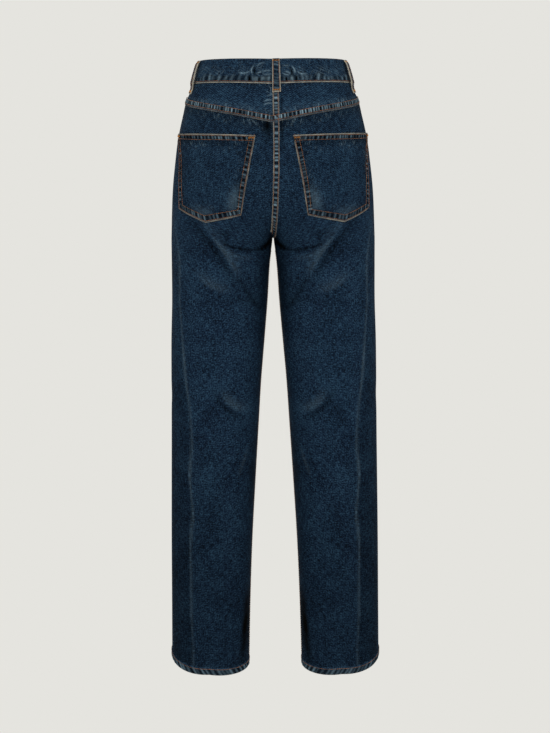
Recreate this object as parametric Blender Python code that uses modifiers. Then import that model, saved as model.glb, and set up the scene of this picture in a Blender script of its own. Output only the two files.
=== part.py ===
"""Loose fit five pocket jeans, filled out as they are worn and hollow inside.

Metres, +Z up. The wearer faces -Y, so +X is the wearer's left. The origin is the centre of the
waist opening, halfway down the waistband. Heights are given as drops below the waistband's top edge.
"""

from collections import namedtuple

import bmesh
import bpy
import numpy as np

GAP = 0.0004
WALL = 0.0015
TOP_ABOVE_ORIGIN = 0.022

# Seams, as drops below the waistband's top edge at the centre front, the side and the centre back.
Seam = namedtuple("Seam", "front side back")
WAIST_TOP = Seam(front=0.018, side=-0.0035, back=0.000)
BAND_SEAM = Seam(front=0.058, side=0.035, back=0.042)
YOKE_SEAM = Seam(front=0.082, side=0.0578, back=0.0982)
CROTCH = Seam(front=0.301, side=0.300, back=0.301)
HEM = Seam(front=1.0465, side=1.0465, back=1.0465)

# How the hem leaves level: it rises to the outside, and dips at the back, a little at the inside, and
# at the corner between the back and the outside.
HEM_OUTER_RISE = 0.0098
HEM_BACK_DIP = 0.0060
HEM_SIDES_RISE = 0.0041
HEM_CORNER_DIP = 0.0060

# Where the centre seams start to round under towards the crotch.
ROUND_UNDER = Seam(front=0.180, side=0.0, back=0.165)

# The garment's section at each drop: half widths from the centre plane, depths from the side line,
# and how far round to the back the side seam has swung.
Section = namedtuple("Section", "drop outer inner front back seam_swing")
SECTIONS = (
    Section(0.000, 0.1262, 0.0005, 0.090, 0.092, 0.00),
    Section(0.020, 0.1315, 0.0005, 0.095, 0.096, 0.00),
    Section(0.040, 0.1371, 0.0005, 0.100, 0.101, 0.00),
    Section(0.062, 0.1474, 0.0005, 0.105, 0.109, 0.00),
    Section(0.090, 0.1545, 0.0005, 0.109, 0.118, 0.00),
    Section(0.130, 0.1632, 0.0005, 0.111, 0.129, 0.05),
    Section(0.172, 0.1687, 0.0005, 0.111, 0.135, 0.14),
    Section(0.215, 0.1732, 0.0005, 0.110, 0.135, 0.32),
    Section(0.255, 0.1757, 0.0005, 0.108, 0.129, 0.46),
    Section(0.300, 0.1774, 0.0010, 0.105, 0.117, 0.62),
    Section(0.338, 0.1774, 0.0058, 0.102, 0.107, 0.72),
    Section(0.408, 0.1767, 0.0107, 0.096, 0.096, 0.77),
    Section(0.478, 0.1785, 0.0166, 0.089, 0.087, 0.84),
    Section(0.548, 0.1792, 0.0226, 0.082, 0.080, 0.93),
    Section(0.618, 0.1796, 0.0271, 0.077, 0.075, 1.00),
    Section(0.725, 0.1808, 0.0338, 0.071, 0.070, 1.04),
    Section(0.832, 0.1819, 0.0400, 0.067, 0.067, 1.08),
    Section(0.940, 0.1824, 0.0442, 0.064, 0.066, 1.10),
    Section(1.060, 0.1832, 0.0472, 0.062, 0.066, 1.10),
)
HIP_SQUARENESS = 2.35
# Rows between which the one hip section turns into two leg sections, away from the centre seams.
LEG_BEGINS = 2.4
LEG_IS_ROUND = 3.2
LEG_SQUARENESS = 2.25

# The largest folds: start, middle and end of each, as how far round and at what drop, with its half
# width, and its height over the cloth (a trough is negative).
Fold = namedtuple("Fold", "start_round start_drop mid_round mid_drop end_round end_drop half_width height")
FOLDS = (
    Fold(0.640, 0.277, 0.675, 0.350, 0.730, 0.395, 0.014, -0.0035),
    Fold(0.672, 0.272, 0.700, 0.320, 0.765, 0.385, 0.014, 0.0025),
    Fold(0.750, 0.365, 0.812, 0.395, 0.930, 0.415, 0.013, -0.0030),
    Fold(0.703, 0.300, 0.760, 0.316, 0.900, 0.316, 0.012, -0.0030),
    Fold(0.620, 0.562, 0.690, 0.600, 0.830, 0.612, 0.015, -0.0025),
    Fold(0.060, 0.250, 0.150, 0.235, 0.330, 0.185, 0.014, -0.0025),
    Fold(0.080, 0.300, 0.180, 0.300, 0.340, 0.265, 0.014, -0.0025),
    Fold(0.130, 0.560, 0.240, 0.600, 0.380, 0.570, 0.016, -0.0030),
)
FOLD_STEPS = 24
FOLD_FREE_EDGE = 0.08
# A fold is strongest at its middle: which part of half a wave its height follows.
FOLD_WAVE_START = 0.08
FOLD_WAVE_LENGTH = 0.84
# Lengths of the way from around 0 to 1: at the waist, the hips, the thigh and the leg's end.
HALF_WAIST = 0.36
HALF_HIPS = 0.40
ROUND_LENGTH = 0.56
LEG_END_ROUND = 0.42

# Rows of the cloth are numbered: 0 waist top, 1 waistband seam, 2 yoke seam, 3 crotch, 4 hem.
# Heights of the yoke and of the seat at the side, by which a seam's gap becomes a share of a row.
YOKE_HEIGHT = 0.023
SEAT_HEIGHT = 0.240
YOKE_ROWS = 2
SEAT_ROWS = 13
LEG_ROWS = 27
PANEL_COLUMNS = 12
SEAM_STRIP = 0.018
FINE_STEP = 1e-4
SHARP_ANGLE = np.radians(40)

# The scooped front pocket mouth, from the waistband seam to the side seam.
MOUTH_START = 0.27
MOUTH_DROP = 0.125
FACING_START = 0.235
FACING_DROP = 0.150
FACING_DEPTH = 0.0028
FACING_WALL = 0.0012
FACING_COLUMNS = 12
FACING_ROWS = 10
# Shares of the mouth's height at which it gets a row of its own, close at its nearly level foot.
MOUTH_STEPS = (0.70, 0.80, 0.88, 0.94, 0.98, 1.0)

# A back pocket's side edges: how far round each is, at shares of the way down. They look straight
# from behind, so on the rounded seat they bend.
PocketLevel = namedtuple("PocketLevel", "down outer inner")
POCKET_LEVELS = (
    PocketLevel(0.00, 0.562, 0.925),
    PocketLevel(0.25, 0.600, 0.912),
    PocketLevel(0.50, 0.615, 0.897),
    PocketLevel(0.75, 0.613, 0.873),
    PocketLevel(1.00, 0.595, 0.825),
)
# Its top and low edges: drops at shares of the way in from the outer side, the point among them.
PocketEdge = namedtuple("PocketEdge", "outer point inner")
POCKET_ACROSS = PocketEdge(outer=0.0, point=0.357, inner=1.0)
POCKET_TOP = PocketEdge(outer=0.1221, point=0.1247, inner=0.1295)
POCKET_LOW = PocketEdge(outer=0.2485, point=0.2728, inner=0.2607)
# Both pockets sit a little to the wearer's right, as the felled seat seam between them does.
POCKET_ASIDE = 0.0028
POCKET_LIFT = 0.0009
POCKET_WALL = 0.0012
POCKET_COLUMNS = 14
POCKET_ROWS = 10

BAND_PROUD = 0.0010
BAND_WALL = 0.0024
BAND_ROWS = 2
BAND_COLUMNS = 56
BAND_END_COLUMNS = 8
BAND_HEIGHT = 0.040
BAND_UNDERLAP = 0.030
BAND_OVERLAP = 0.020
BAND_EASE = 0.024

LOOP_WIDTH = 0.0125
LOOP_WALL = 0.0018
# The belt loop's inner face: drop below the waistband's top edge, and height over the cloth.
LoopPoint = namedtuple("LoopPoint", "drop lift")
LOOP_PROFILE = (
    LoopPoint(0.0005, 0.0018),
    LoopPoint(0.0035, 0.0019),
    LoopPoint(0.0070, 0.0044),
    LoopPoint(0.0160, 0.0050),
    LoopPoint(0.0280, 0.0054),
    LoopPoint(0.0400, 0.0053),
    LoopPoint(0.0485, 0.0014),
    LoopPoint(0.0570, 0.0005),
)
LOOP_FRONT_ROUND = 0.22
LOOP_SIDE_ROUND = 0.575
# How far the back loop is sewn to the wearer's right of the centre, and the step that measures a span.
LOOP_BACK_ASIDE = 0.0078
LOOP_SPAN = 0.01

# Where the cloth's drops are read for what lies on the centre front.
CENTRE_ROUND = 0.01
FLY_LENGTH = 0.130
STRIP_COLUMNS = 5
STRIP_ROWS = 8
ZIP_HALF_WIDTH = 0.014
ZIP_DEPTH = 0.0027
ZIP_WALL = 0.0014
SHIELD_DEPTH = 0.0050
SHIELD_WALL = 0.0012
SHIELD_LEFT = 0.034
SHIELD_RIGHT = 0.020

BUTTON_RADIUS = 0.0085
BUTTON_HEIGHT = 0.0036
BUTTON_BEVEL = 0.0010
BUTTON_DROP = 0.038

DENIM = ("indigo denim", (0.0110, 0.0220, 0.0395), 0.85, 0.0)
BRASS = ("aged brass", (0.180, 0.115, 0.050), 0.45, 1.0)


def table_value(column, drop):
    """Smooth value of one column of SECTIONS at each drop, by cubic steps between its rows."""
    drops = np.array([section.drop for section in SECTIONS])
    values = np.array([getattr(section, column) for section in SECTIONS])
    slopes = np.gradient(values, drops)
    drop = np.clip(drop, drops[0], drops[-1])
    low = np.clip(np.searchsorted(drops, drop) - 1, 0, len(drops) - 2)
    step = drops[low + 1] - drops[low]
    t = (drop - drops[low]) / step
    return (
        values[low] * (1 + 2 * t) * (1 - t) ** 2
        + slopes[low] * step * t * (1 - t) ** 2
        + values[low + 1] * t**2 * (3 - 2 * t)
        + slopes[low + 1] * step * t**2 * (t - 1)
    )


def centre_seam(end, row):
    """(drop, share of the hip's depth) down a centre seam: straight, then rounded under to the crotch."""
    top, seam, yoke, crotch, hem = (
        getattr(level, end) for level in (WAIST_TOP, BAND_SEAM, YOKE_SEAM, CROTCH, HEM)
    )
    start = getattr(ROUND_UNDER, end)
    straight = start - yoke
    curved = 0.5 * np.pi * 0.5 * (crotch - start + table_value(end, start))
    along = np.clip(row - 2, 0, 1) * (straight + curved)
    turn = np.clip((along - straight) / curved, 0, 1) * 0.5 * np.pi
    in_seat = yoke + np.minimum(along, straight) + (crotch - start) * np.sin(turn)
    drop = np.where(row < 2, np.interp(row, (0, 1, 2), (top, seam, yoke)), in_seat)
    drop = np.where(row > 3, np.interp(row, (3, 4), (crotch, hem)), drop)
    return drop, np.cos(turn)


def superellipse(angle, wide, deep, squareness):
    """Point at this polar angle on a rounded square section."""
    reach = (np.abs(np.cos(angle) / wide) ** squareness + np.abs(np.sin(angle) / deep) ** squareness) ** (
        -1 / squareness
    )
    return reach * np.cos(angle), reach * np.sin(angle)


def base_surface(around, row):
    """Left half of the cloth. around: 0 centre front or inseam, 0.5 side seam, 1 centre back or inseam."""
    around, row = np.broadcast_arrays(np.asarray(around, float), np.asarray(row, float))
    is_back = around > 0.5
    levels = (WAIST_TOP, BAND_SEAM, YOKE_SEAM, CROTCH, HEM)
    side_drop = np.interp(row, range(5), [level.side for level in levels])
    front_drop, front_share = centre_seam("front", row)
    back_drop, back_share = centre_seam("back", row)
    end_drop = np.where(is_back, back_drop, front_drop)
    from_side = np.abs(around - 0.5) * 2
    into_leg = np.clip((row - LEG_BEGINS) / (LEG_IS_ROUND - LEG_BEGINS), 0, 1)
    at_side = 1 - into_leg**2 * (3 - 2 * into_leg)
    hip_share = at_side + (np.where(is_back, back_share, front_share) - at_side) * from_side**4
    swing_share = np.cos((around - 0.5) * np.pi) ** 2
    hem_angle = (around - 0.5) * 2 * np.pi + SECTIONS[-1].seam_swing * swing_share
    hem_edge = HEM_BACK_DIP * np.sin(hem_angle) - HEM_OUTER_RISE * np.cos(hem_angle)
    hem_edge = hem_edge - HEM_SIDES_RISE * np.cos(2 * hem_angle)
    hem_edge = hem_edge + HEM_CORNER_DIP * np.clip(np.sin(2 * hem_angle), 0, 1) * (hem_angle > 0)
    drop = side_drop + (end_drop - side_drop) * from_side + hem_edge * np.clip(row - 3, 0, 1) ** 4
    outer, inner, front, back, swing = (
        table_value(column, drop) for column in Section._fields[1:]
    )
    depth = np.where(is_back, back, front)
    hip_x, hip_y = superellipse((around - 0.5) * np.pi, outer, depth, HIP_SQUARENESS)
    angle = (around - 0.5) * 2 * np.pi + swing * swing_share
    depth = np.where(angle > 0, back, front)
    leg_x, leg_y = superellipse(angle, 0.5 * (outer - inner), depth, LEG_SQUARENESS)
    leg_x = leg_x + 0.5 * (outer + inner)
    x = leg_x + (hip_x - leg_x) * hip_share
    y = leg_y + (hip_y - leg_y) * hip_share
    return np.stack([x + GAP / 2, y, TOP_ABOVE_ORIGIN - drop], axis=-1)


def fold_height(around, drop):
    """How far the folds raise or sink the cloth here."""
    total = np.zeros(np.shape(around))
    t = np.linspace(0, 1, FOLD_STEPS)
    for fold in FOLDS:
        along = fold.start_round * (1 - t) ** 2 + fold.mid_round * 2 * t * (1 - t) + fold.end_round * t**2
        down = fold.start_drop * (1 - t) ** 2 + fold.mid_drop * 2 * t * (1 - t) + fold.end_drop * t**2
        reach = np.hypot((around[..., None] - along) * ROUND_LENGTH, drop[..., None] - down)
        strength = np.exp(-((reach / fold.half_width) ** 2)) * np.sin(np.pi * (FOLD_WAVE_START + FOLD_WAVE_LENGTH * t))
        total += fold.height * strength.max(axis=-1)
    inside = np.clip(np.minimum(around, 1 - around) / FOLD_FREE_EDGE, 0, 1)
    return total * inside**2 * (3 - 2 * inside)


def surface(around, row, lift=0.0):
    """Left half of the cloth with its folds, moved out along its own normal by lift."""
    around, row = np.broadcast_arrays(np.asarray(around, float), np.asarray(row, float))
    here = base_surface(around, row)
    u = np.clip(around, FINE_STEP, 1 - FINE_STEP)
    v = np.clip(row, FINE_STEP, 4 - FINE_STEP)
    across = base_surface(u + FINE_STEP, v) - base_surface(u - FINE_STEP, v)
    down = base_surface(u, v + FINE_STEP) - base_surface(u, v - FINE_STEP)
    normal = np.cross(down, across)
    normal /= np.linalg.norm(normal, axis=-1, keepdims=True)
    height = lift + fold_height(around, TOP_ABOVE_ORIGIN - here[..., 2])
    return here + normal * height[..., None]


def row_at(around, drop):
    """Row number where the cloth, this far round, reaches this drop."""
    rows = np.linspace(0, 4, 801)
    flat = [
        np.interp(one_drop, TOP_ABOVE_ORIGIN - base_surface(one_around, rows)[:, 2], rows)
        for one_around, one_drop in zip(np.ravel(around), np.ravel(drop))
    ]
    return np.reshape(flat, np.shape(around))


def material(name, colour, roughness, metallic):
    """Principled material, made once and shared by name."""
    made = bpy.data.materials.get(name) or bpy.data.materials.new(name)
    made.use_nodes = True
    shader = made.node_tree.nodes["Principled BSDF"]
    shader.inputs["Base Color"].default_value = (*colour, 1)
    shader.inputs["Roughness"].default_value = roughness
    shader.inputs["Metallic"].default_value = metallic
    return made


def link(collection, name, mesh, finish):
    """Object from a mesh, in the collection, shaded smooth with its finish."""
    mesh.materials.append(material(*finish))
    mesh.shade_smooth()
    made = bpy.data.objects.new(name, mesh)
    collection.objects.link(made)
    return made


def cloth(collection, name, points, wall, mirrored=False):
    """Wall of cloth: a grid of outer points, rows down and columns round, thickened inwards."""
    rows, columns = points.shape[:2]
    if mirrored:
        points = points * (-1, 1, 1)
    faces = []
    for i in range(rows - 1):
        for j in range(columns - 1):
            corner = i * columns + j
            face = (corner, corner + columns, corner + columns + 1, corner + 1)
            faces.append(face[::-1] if mirrored else face)
    mesh = bpy.data.meshes.new(name)
    mesh.from_pydata(points.reshape(-1, 3).tolist(), [], faces)
    made = link(collection, name, mesh, DENIM)
    solidify = made.modifiers.new("wall", "SOLIDIFY")
    solidify.thickness = wall
    solidify.offset = -1
    solidify.use_even_offset = True
    mesh.set_sharp_from_angle(angle=SHARP_ANGLE)
    return made


def both_sides(collection, name, points, wall):
    """Left piece and its mirror image."""
    cloth(collection, f"{name}_left", points, wall)
    cloth(collection, f"{name}_right", points, wall, mirrored=True)


def edge_share(row):
    """Half a seam's gap as a share of the way round."""
    return 0.5 * GAP / np.interp(row, (0, 2, 3, 4), (HALF_WAIST, HALF_HIPS, ROUND_LENGTH, LEG_END_ROUND))


def panel_shares():
    """Columns across a panel, with a narrow one along each seam."""
    return np.sort(np.append(np.linspace(0, 1, PANEL_COLUMNS + 1), (SEAM_STRIP, 1 - SEAM_STRIP)))


def panel_rows(first):
    """Rows from this seam down to the hem."""
    rows = np.concatenate([
        np.linspace(1, 2, YOKE_ROWS + 1)[:-1],
        np.linspace(2, 3, SEAT_ROWS + 1)[:-1],
        np.linspace(3, 4, LEG_ROWS + 1),
    ])
    return rows[rows >= first - FINE_STEP]


def below_seam(rows, row_height):
    """The same rows with the first one moved down by a seam's gap."""
    rows = rows.copy()
    rows[0] += GAP / row_height
    return rows


def mouth_edge(rows):
    """How far round the front panel reaches at each row: the scooped pocket mouth, then the side seam."""
    side = np.interp(rows, (1, 2, 3), (BAND_SEAM.side, YOKE_SEAM.side, CROTCH.side))
    along = np.clip((side - BAND_SEAM.side) / (MOUTH_DROP - BAND_SEAM.side), 0, 1)
    return 0.5 - (0.5 - MOUTH_START) * np.sqrt(1 - along**2)


def mouth_rows():
    """Extra rows close to the foot of the pocket mouth, where its curve is nearly level."""
    drops = BAND_SEAM.side + (MOUTH_DROP - BAND_SEAM.side) * np.array(MOUTH_STEPS)
    return np.interp(drops, (YOKE_SEAM.side, CROTCH.side), (2, 3))


def front_panels(collection):
    rows = np.unique(np.concatenate([panel_rows(1), mouth_rows()]))
    rows = below_seam(rows, YOKE_HEIGHT)
    first = edge_share(rows)
    last = mouth_edge(rows) - edge_share(rows)
    around = first[:, None] + (last - first)[:, None] * panel_shares()
    both_sides(collection, "front_panel", surface(around, rows[:, None]), WALL)


def front_pocket_facings(collection):
    around = np.linspace(FACING_START, 0.5 - edge_share(1.0), FACING_COLUMNS)
    low = row_at(np.array([0.5]), np.array([FACING_DROP]))[0]
    rows = below_seam(np.linspace(1, low, FACING_ROWS), YOKE_HEIGHT)
    points = surface(around[None, :], rows[:, None], -FACING_DEPTH)
    both_sides(collection, "front_pocket_facing", points, FACING_WALL)


def back_panels(collection):
    rows = below_seam(panel_rows(2), SEAT_HEIGHT)
    edge = edge_share(rows)[:, None]
    around = 0.5 + edge + (0.5 - 2 * edge) * panel_shares()
    both_sides(collection, "back_panel", surface(around, rows[:, None]), WALL)


def back_yokes(collection):
    rows = below_seam(np.linspace(1, 2, YOKE_ROWS + 2), YOKE_HEIGHT)
    edge = edge_share(rows)[:, None]
    around = 0.5 + edge + (0.5 - 2 * edge) * panel_shares()
    both_sides(collection, "back_yoke", surface(around, rows[:, None]), WALL)


def back_pockets(collection):
    """Five sided patches on the back panels, pointed at the foot."""
    across = np.unique(np.append(np.linspace(0, 1, POCKET_COLUMNS + 1), POCKET_ACROSS.point))
    down = np.linspace(0, 1, POCKET_ROWS + 1)[:, None]
    outer, inner = (pocket_side(side, down) for side in ("outer", "inner"))
    top, low = (np.interp(across, POCKET_ACROSS, edge) for edge in (POCKET_TOP, POCKET_LOW))
    around = outer + (inner - outer) * across
    drop = top + (low - top) * down
    for side, way in (("left", 1), ("right", -1)):
        shifted = around + way * POCKET_ASIDE / HALF_HIPS
        points = surface(shifted, row_at(shifted, drop), POCKET_LIFT + POCKET_WALL)
        cloth(collection, f"back_pocket_{side}", points, POCKET_WALL, mirrored=way < 0)


def pocket_side(side, down):
    """How far round a pocket's outer or inner edge is, smoothly through POCKET_LEVELS."""
    stops = [getattr(level, side) for level in POCKET_LEVELS]
    return np.polyval(np.polyfit([level.down for level in POCKET_LEVELS], stops, 4), down)


def whole_waist(turn, row, lift):
    """Waist cloth all round. turn: 0 centre front, 1 centre back by the wearer's right, 2 centre front."""
    around = 1 - np.abs((turn % 2) - 1)
    points = surface(around, row, lift)
    points[..., 0] = np.where((turn % 2) < 1, -points[..., 0], points[..., 0])
    return points


def waistband(collection):
    """One strip, from its under end behind the left front, round the back, to its upper end."""
    under = BAND_UNDERLAP / HALF_WAIST
    over = BAND_OVERLAP / HALF_WAIST
    ease = BAND_EASE / HALF_WAIST
    turn = np.unique(np.concatenate([
        np.linspace(-under, over + ease, BAND_END_COLUMNS),
        np.linspace(over + ease, 2 + over, BAND_COLUMNS),
    ]))
    sunk = np.clip((over + ease - turn) / ease, 0, 1)
    lift = BAND_PROUD - (BAND_WALL + 2 * GAP) * sunk**2 * (3 - 2 * sunk)
    rows = np.linspace(0, 1, BAND_ROWS + 1)
    rows[-1] -= GAP / BAND_HEIGHT
    points = whole_waist(turn[None, :], rows[:, None], np.broadcast_to(lift, (len(rows), len(turn))))
    cloth(collection, "waistband", points[:, ::-1], BAND_WALL)


def belt_loop(collection, name, turn):
    """Strip over the waistband, bowed out for the belt and sewn down at both ends."""
    around = 1 - abs(turn - 1)
    span = whole_waist(np.array([turn - LOOP_SPAN, turn + LOOP_SPAN]), np.array([0.5, 0.5]), 0.0)
    half = 0.5 * LOOP_WIDTH * 2 * LOOP_SPAN / np.linalg.norm(span[1] - span[0])
    rows = [row_at(np.array([around]), np.array([loop_drop(around, point.drop)]))[0] for point in LOOP_PROFILE]
    lifts = np.array([point.lift + LOOP_WALL for point in LOOP_PROFILE])
    sides = np.array([turn - half, turn + half])
    points = whole_waist(sides[None, :], np.array(rows)[:, None], lifts[:, None] * np.ones(2))
    cloth(collection, name, points[:, ::-1], LOOP_WALL)


def loop_drop(around, drop):
    """A drop below the waistband's own top edge, this far round."""
    end = WAIST_TOP.back if around > 0.5 else WAIST_TOP.front
    return drop + WAIST_TOP.side + (end - WAIST_TOP.side) * abs(around - 0.5) * 2


def belt_loops(collection):
    belt_loop(collection, "belt_loop_back", 1 - LOOP_BACK_ASIDE / HALF_WAIST)
    for place, around in (("side", LOOP_SIDE_ROUND), ("front", LOOP_FRONT_ROUND)):
        belt_loop(collection, f"belt_loop_{place}_left", 2 - around)
        belt_loop(collection, f"belt_loop_{place}_right", around)


def front_strip(reach_left, reach_right, low_drop, lift):
    """Grid across the centre front, from the waistband seam down, following the cloth."""
    turn = np.linspace(-reach_left, reach_right, STRIP_COLUMNS) / HALF_HIPS
    top = 1 + 2 * GAP / YOKE_HEIGHT
    low = row_at(np.array([CENTRE_ROUND]), np.array([low_drop]))[0]
    rows = np.linspace(top, low, STRIP_ROWS)
    points = surface(np.abs(turn)[None, :], rows[:, None], lift)
    points[..., 0] = np.where(turn > 0, -points[..., 0], points[..., 0])
    return points[:, ::-1]


def fly(collection):
    low = BAND_SEAM.front + FLY_LENGTH
    cloth(collection, "fly_zip", front_strip(ZIP_HALF_WIDTH, ZIP_HALF_WIDTH, low, -ZIP_DEPTH), ZIP_WALL)
    cloth(collection, "fly_shield", front_strip(SHIELD_LEFT, SHIELD_RIGHT, low, -SHIELD_DEPTH), SHIELD_WALL)


def waist_button(collection):
    """Shank button on the upper end of the waistband."""
    mesh = bpy.data.meshes.new("waist_button")
    form = bmesh.new()
    bmesh.ops.create_cone(
        form, cap_ends=True, segments=24, radius1=BUTTON_RADIUS, radius2=BUTTON_RADIUS, depth=BUTTON_HEIGHT
    )
    form.to_mesh(mesh)
    form.free()
    button = link(collection, "waist_button", mesh, BRASS)
    row = row_at(np.array([CENTRE_ROUND]), np.array([BUTTON_DROP]))[0]
    seat = surface(0.0, row, BAND_PROUD + GAP + 0.5 * BUTTON_HEIGHT)
    lean = surface(0.0, row, 1.0) - surface(0.0, row, 0.0)
    button.location = (0, seat[1], seat[2])
    button.rotation_euler = (np.arctan2(-lean[1], lean[2]), 0, 0)
    bevel = button.modifiers.new("rounded rim", "BEVEL")
    bevel.width = BUTTON_BEVEL
    bevel.segments = 2
    bevel.limit_method = "ANGLE"


def main():
    for old in list(bpy.data.objects):
        bpy.data.objects.remove(old)
    collection = bpy.data.collections.new("loose fit jeans")
    bpy.context.scene.collection.children.link(collection)
    front_panels(collection)
    front_pocket_facings(collection)
    back_panels(collection)
    back_yokes(collection)
    back_pockets(collection)
    waistband(collection)
    belt_loops(collection)
    fly(collection)
    waist_button(collection)


main()
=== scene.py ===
"""Dresses the loose fit jeans: denim, seams, stitches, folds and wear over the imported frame.

The cloth is worked out from the same sizes as its solids: a section table, the levels of the seams and
the folds. Metres, +Z up, the wearer facing -Y, the origin halfway down the waistband.
"""

import logging
import math
from dataclasses import dataclass, field, fields
from enum import Enum
from typing import Any, Iterable, Sequence

import bpy
import numpy as np
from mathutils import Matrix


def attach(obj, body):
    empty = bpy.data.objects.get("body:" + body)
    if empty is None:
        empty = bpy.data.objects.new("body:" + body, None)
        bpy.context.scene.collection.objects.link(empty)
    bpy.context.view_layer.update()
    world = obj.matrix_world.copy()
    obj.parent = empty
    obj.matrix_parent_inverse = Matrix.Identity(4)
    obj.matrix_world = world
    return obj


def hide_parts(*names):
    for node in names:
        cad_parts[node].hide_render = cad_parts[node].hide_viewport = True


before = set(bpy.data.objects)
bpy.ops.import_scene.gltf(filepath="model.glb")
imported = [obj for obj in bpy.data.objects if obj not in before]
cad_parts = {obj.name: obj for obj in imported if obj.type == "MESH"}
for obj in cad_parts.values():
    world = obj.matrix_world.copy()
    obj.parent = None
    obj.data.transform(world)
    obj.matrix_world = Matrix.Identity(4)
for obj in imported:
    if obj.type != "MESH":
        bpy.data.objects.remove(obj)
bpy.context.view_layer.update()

Array = np.ndarray
LOG = logging.getLogger("jeans")
BODY = "root"
TOP_ABOVE_ORIGIN = 0.022
MM = 0.001
# The step over which slopes are measured, in shares round and in rows.
FINE = 1e-4
# Distance round half the garment at the thigh, where around goes from 0 to 1.
ROUND_LENGTH = 0.56


class Side(Enum):
    """Which of the wearer's sides a piece is on; the value is the sign of x."""

    LEFT = 1
    RIGHT = -1

    @property
    def word(self) -> str:
        """The side's name as the nodes spell it."""
        return self.name.lower()

    @property
    def mirror(self) -> tuple[int, int, int]:
        """What the left half's points are multiplied by."""
        return (self.value, 1, 1)


def linear(hex_colour: str) -> tuple[float, float, float, float]:
    """Turn an sRGB hex colour into linear RGBA.

    Args:
        hex_colour: Six hex digits, with or without a leading #.

    Returns:
        The colour as four linear numbers, the last one 1.
    """
    digits = hex_colour.lstrip("#")
    parts = [int(digits[i : i + 2], 16) / 255 for i in (0, 2, 4)]
    return (*(c / 12.92 if c <= 0.04045 else ((c + 0.055) / 1.055) ** 2.4 for c in parts), 1.0)


@dataclass
class NodeGraph:
    """A node tree that is filled by name, so that a later node can be linked to an earlier one."""

    tree: Any
    made: dict[str, Any] = field(default_factory=dict)

    def add(self, name: str, kind: str, settings: dict | None = None, inputs: dict | None = None) -> Any:
        """Add one node with its settings, and set or link its inputs.

        Args:
            name: What later nodes call it.
            kind: The node's type name.
            settings: Attribute values of the node.
            inputs: Input socket to a value, or to "name" or "name:output" of an earlier node.

        Returns:
            The new node.
        """
        node = self.tree.nodes.new(kind)
        self.made[name] = node
        for key, value in (settings or {}).items():
            setattr(node, key, value)
        for key, value in (inputs or {}).items():
            if isinstance(value, str):
                source, _, output = value.partition(":")
                output = int(output) if output.isdigit() else output or 0
                self.tree.links.new(self.made[source].outputs[output], node.inputs[key])
            else:
                node.inputs[key].default_value = value
        return node


def shader_graph(name: str) -> tuple[Any, NodeGraph]:
    """Start a material.

    Args:
        name: The material's name.

    Returns:
        The material and its empty graph.
    """
    made = bpy.data.materials.new(name)
    made.use_nodes = True
    made.node_tree.nodes.clear()
    return made, NodeGraph(made.node_tree)


@dataclass(frozen=True)
class Level:
    """A seam's drop below the waistband's top edge, at three places round the garment."""

    front: float
    side: float
    back: float


@dataclass(frozen=True)
class Section:
    """The cloth's half widths and depths at one drop, and how far the side seam has swung back."""

    drop: float
    outer: float
    inner: float
    front: float
    back: float
    seam_swing: float


@dataclass(frozen=True)
class Fold:
    """A soft trough or ridge: start, middle and end (share round, drop), half width and height."""

    start: tuple[float, float]
    middle: tuple[float, float]
    end: tuple[float, float]
    half_width: float
    height: float


WAIST_TOP = Level(front=0.018, side=-0.0035, back=0.000)
BAND_SEAM = Level(front=0.058, side=0.035, back=0.042)
YOKE_SEAM = Level(front=0.082, side=0.0578, back=0.0982)
CROTCH = Level(front=0.301, side=0.300, back=0.301)
HEM = Level(front=1.0465, side=1.0465, back=1.0465)
ROUND_UNDER = Level(front=0.180, side=0.0, back=0.165)
LEVELS = (WAIST_TOP, BAND_SEAM, YOKE_SEAM, CROTCH, HEM)

SECTIONS = (
    Section(0.000, 0.1262, 0.0005, 0.090, 0.092, 0.00),
    Section(0.020, 0.1315, 0.0005, 0.095, 0.096, 0.00),
    Section(0.040, 0.1371, 0.0005, 0.100, 0.101, 0.00),
    Section(0.062, 0.1474, 0.0005, 0.105, 0.109, 0.00),
    Section(0.090, 0.1545, 0.0005, 0.109, 0.118, 0.00),
    Section(0.130, 0.1632, 0.0005, 0.111, 0.129, 0.05),
    Section(0.172, 0.1687, 0.0005, 0.111, 0.135, 0.14),
    Section(0.215, 0.1732, 0.0005, 0.110, 0.135, 0.32),
    Section(0.255, 0.1757, 0.0005, 0.108, 0.129, 0.46),
    Section(0.300, 0.1774, 0.0010, 0.105, 0.117, 0.62),
    Section(0.338, 0.1774, 0.0058, 0.102, 0.107, 0.72),
    Section(0.408, 0.1767, 0.0107, 0.096, 0.096, 0.77),
    Section(0.478, 0.1785, 0.0166, 0.089, 0.087, 0.84),
    Section(0.548, 0.1792, 0.0226, 0.082, 0.080, 0.93),
    Section(0.618, 0.1796, 0.0271, 0.077, 0.075, 1.00),
    Section(0.725, 0.1808, 0.0338, 0.071, 0.070, 1.04),
    Section(0.832, 0.1819, 0.0400, 0.067, 0.067, 1.08),
    Section(0.940, 0.1824, 0.0442, 0.064, 0.066, 1.10),
    Section(1.060, 0.1832, 0.0472, 0.062, 0.066, 1.10),
)

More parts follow.
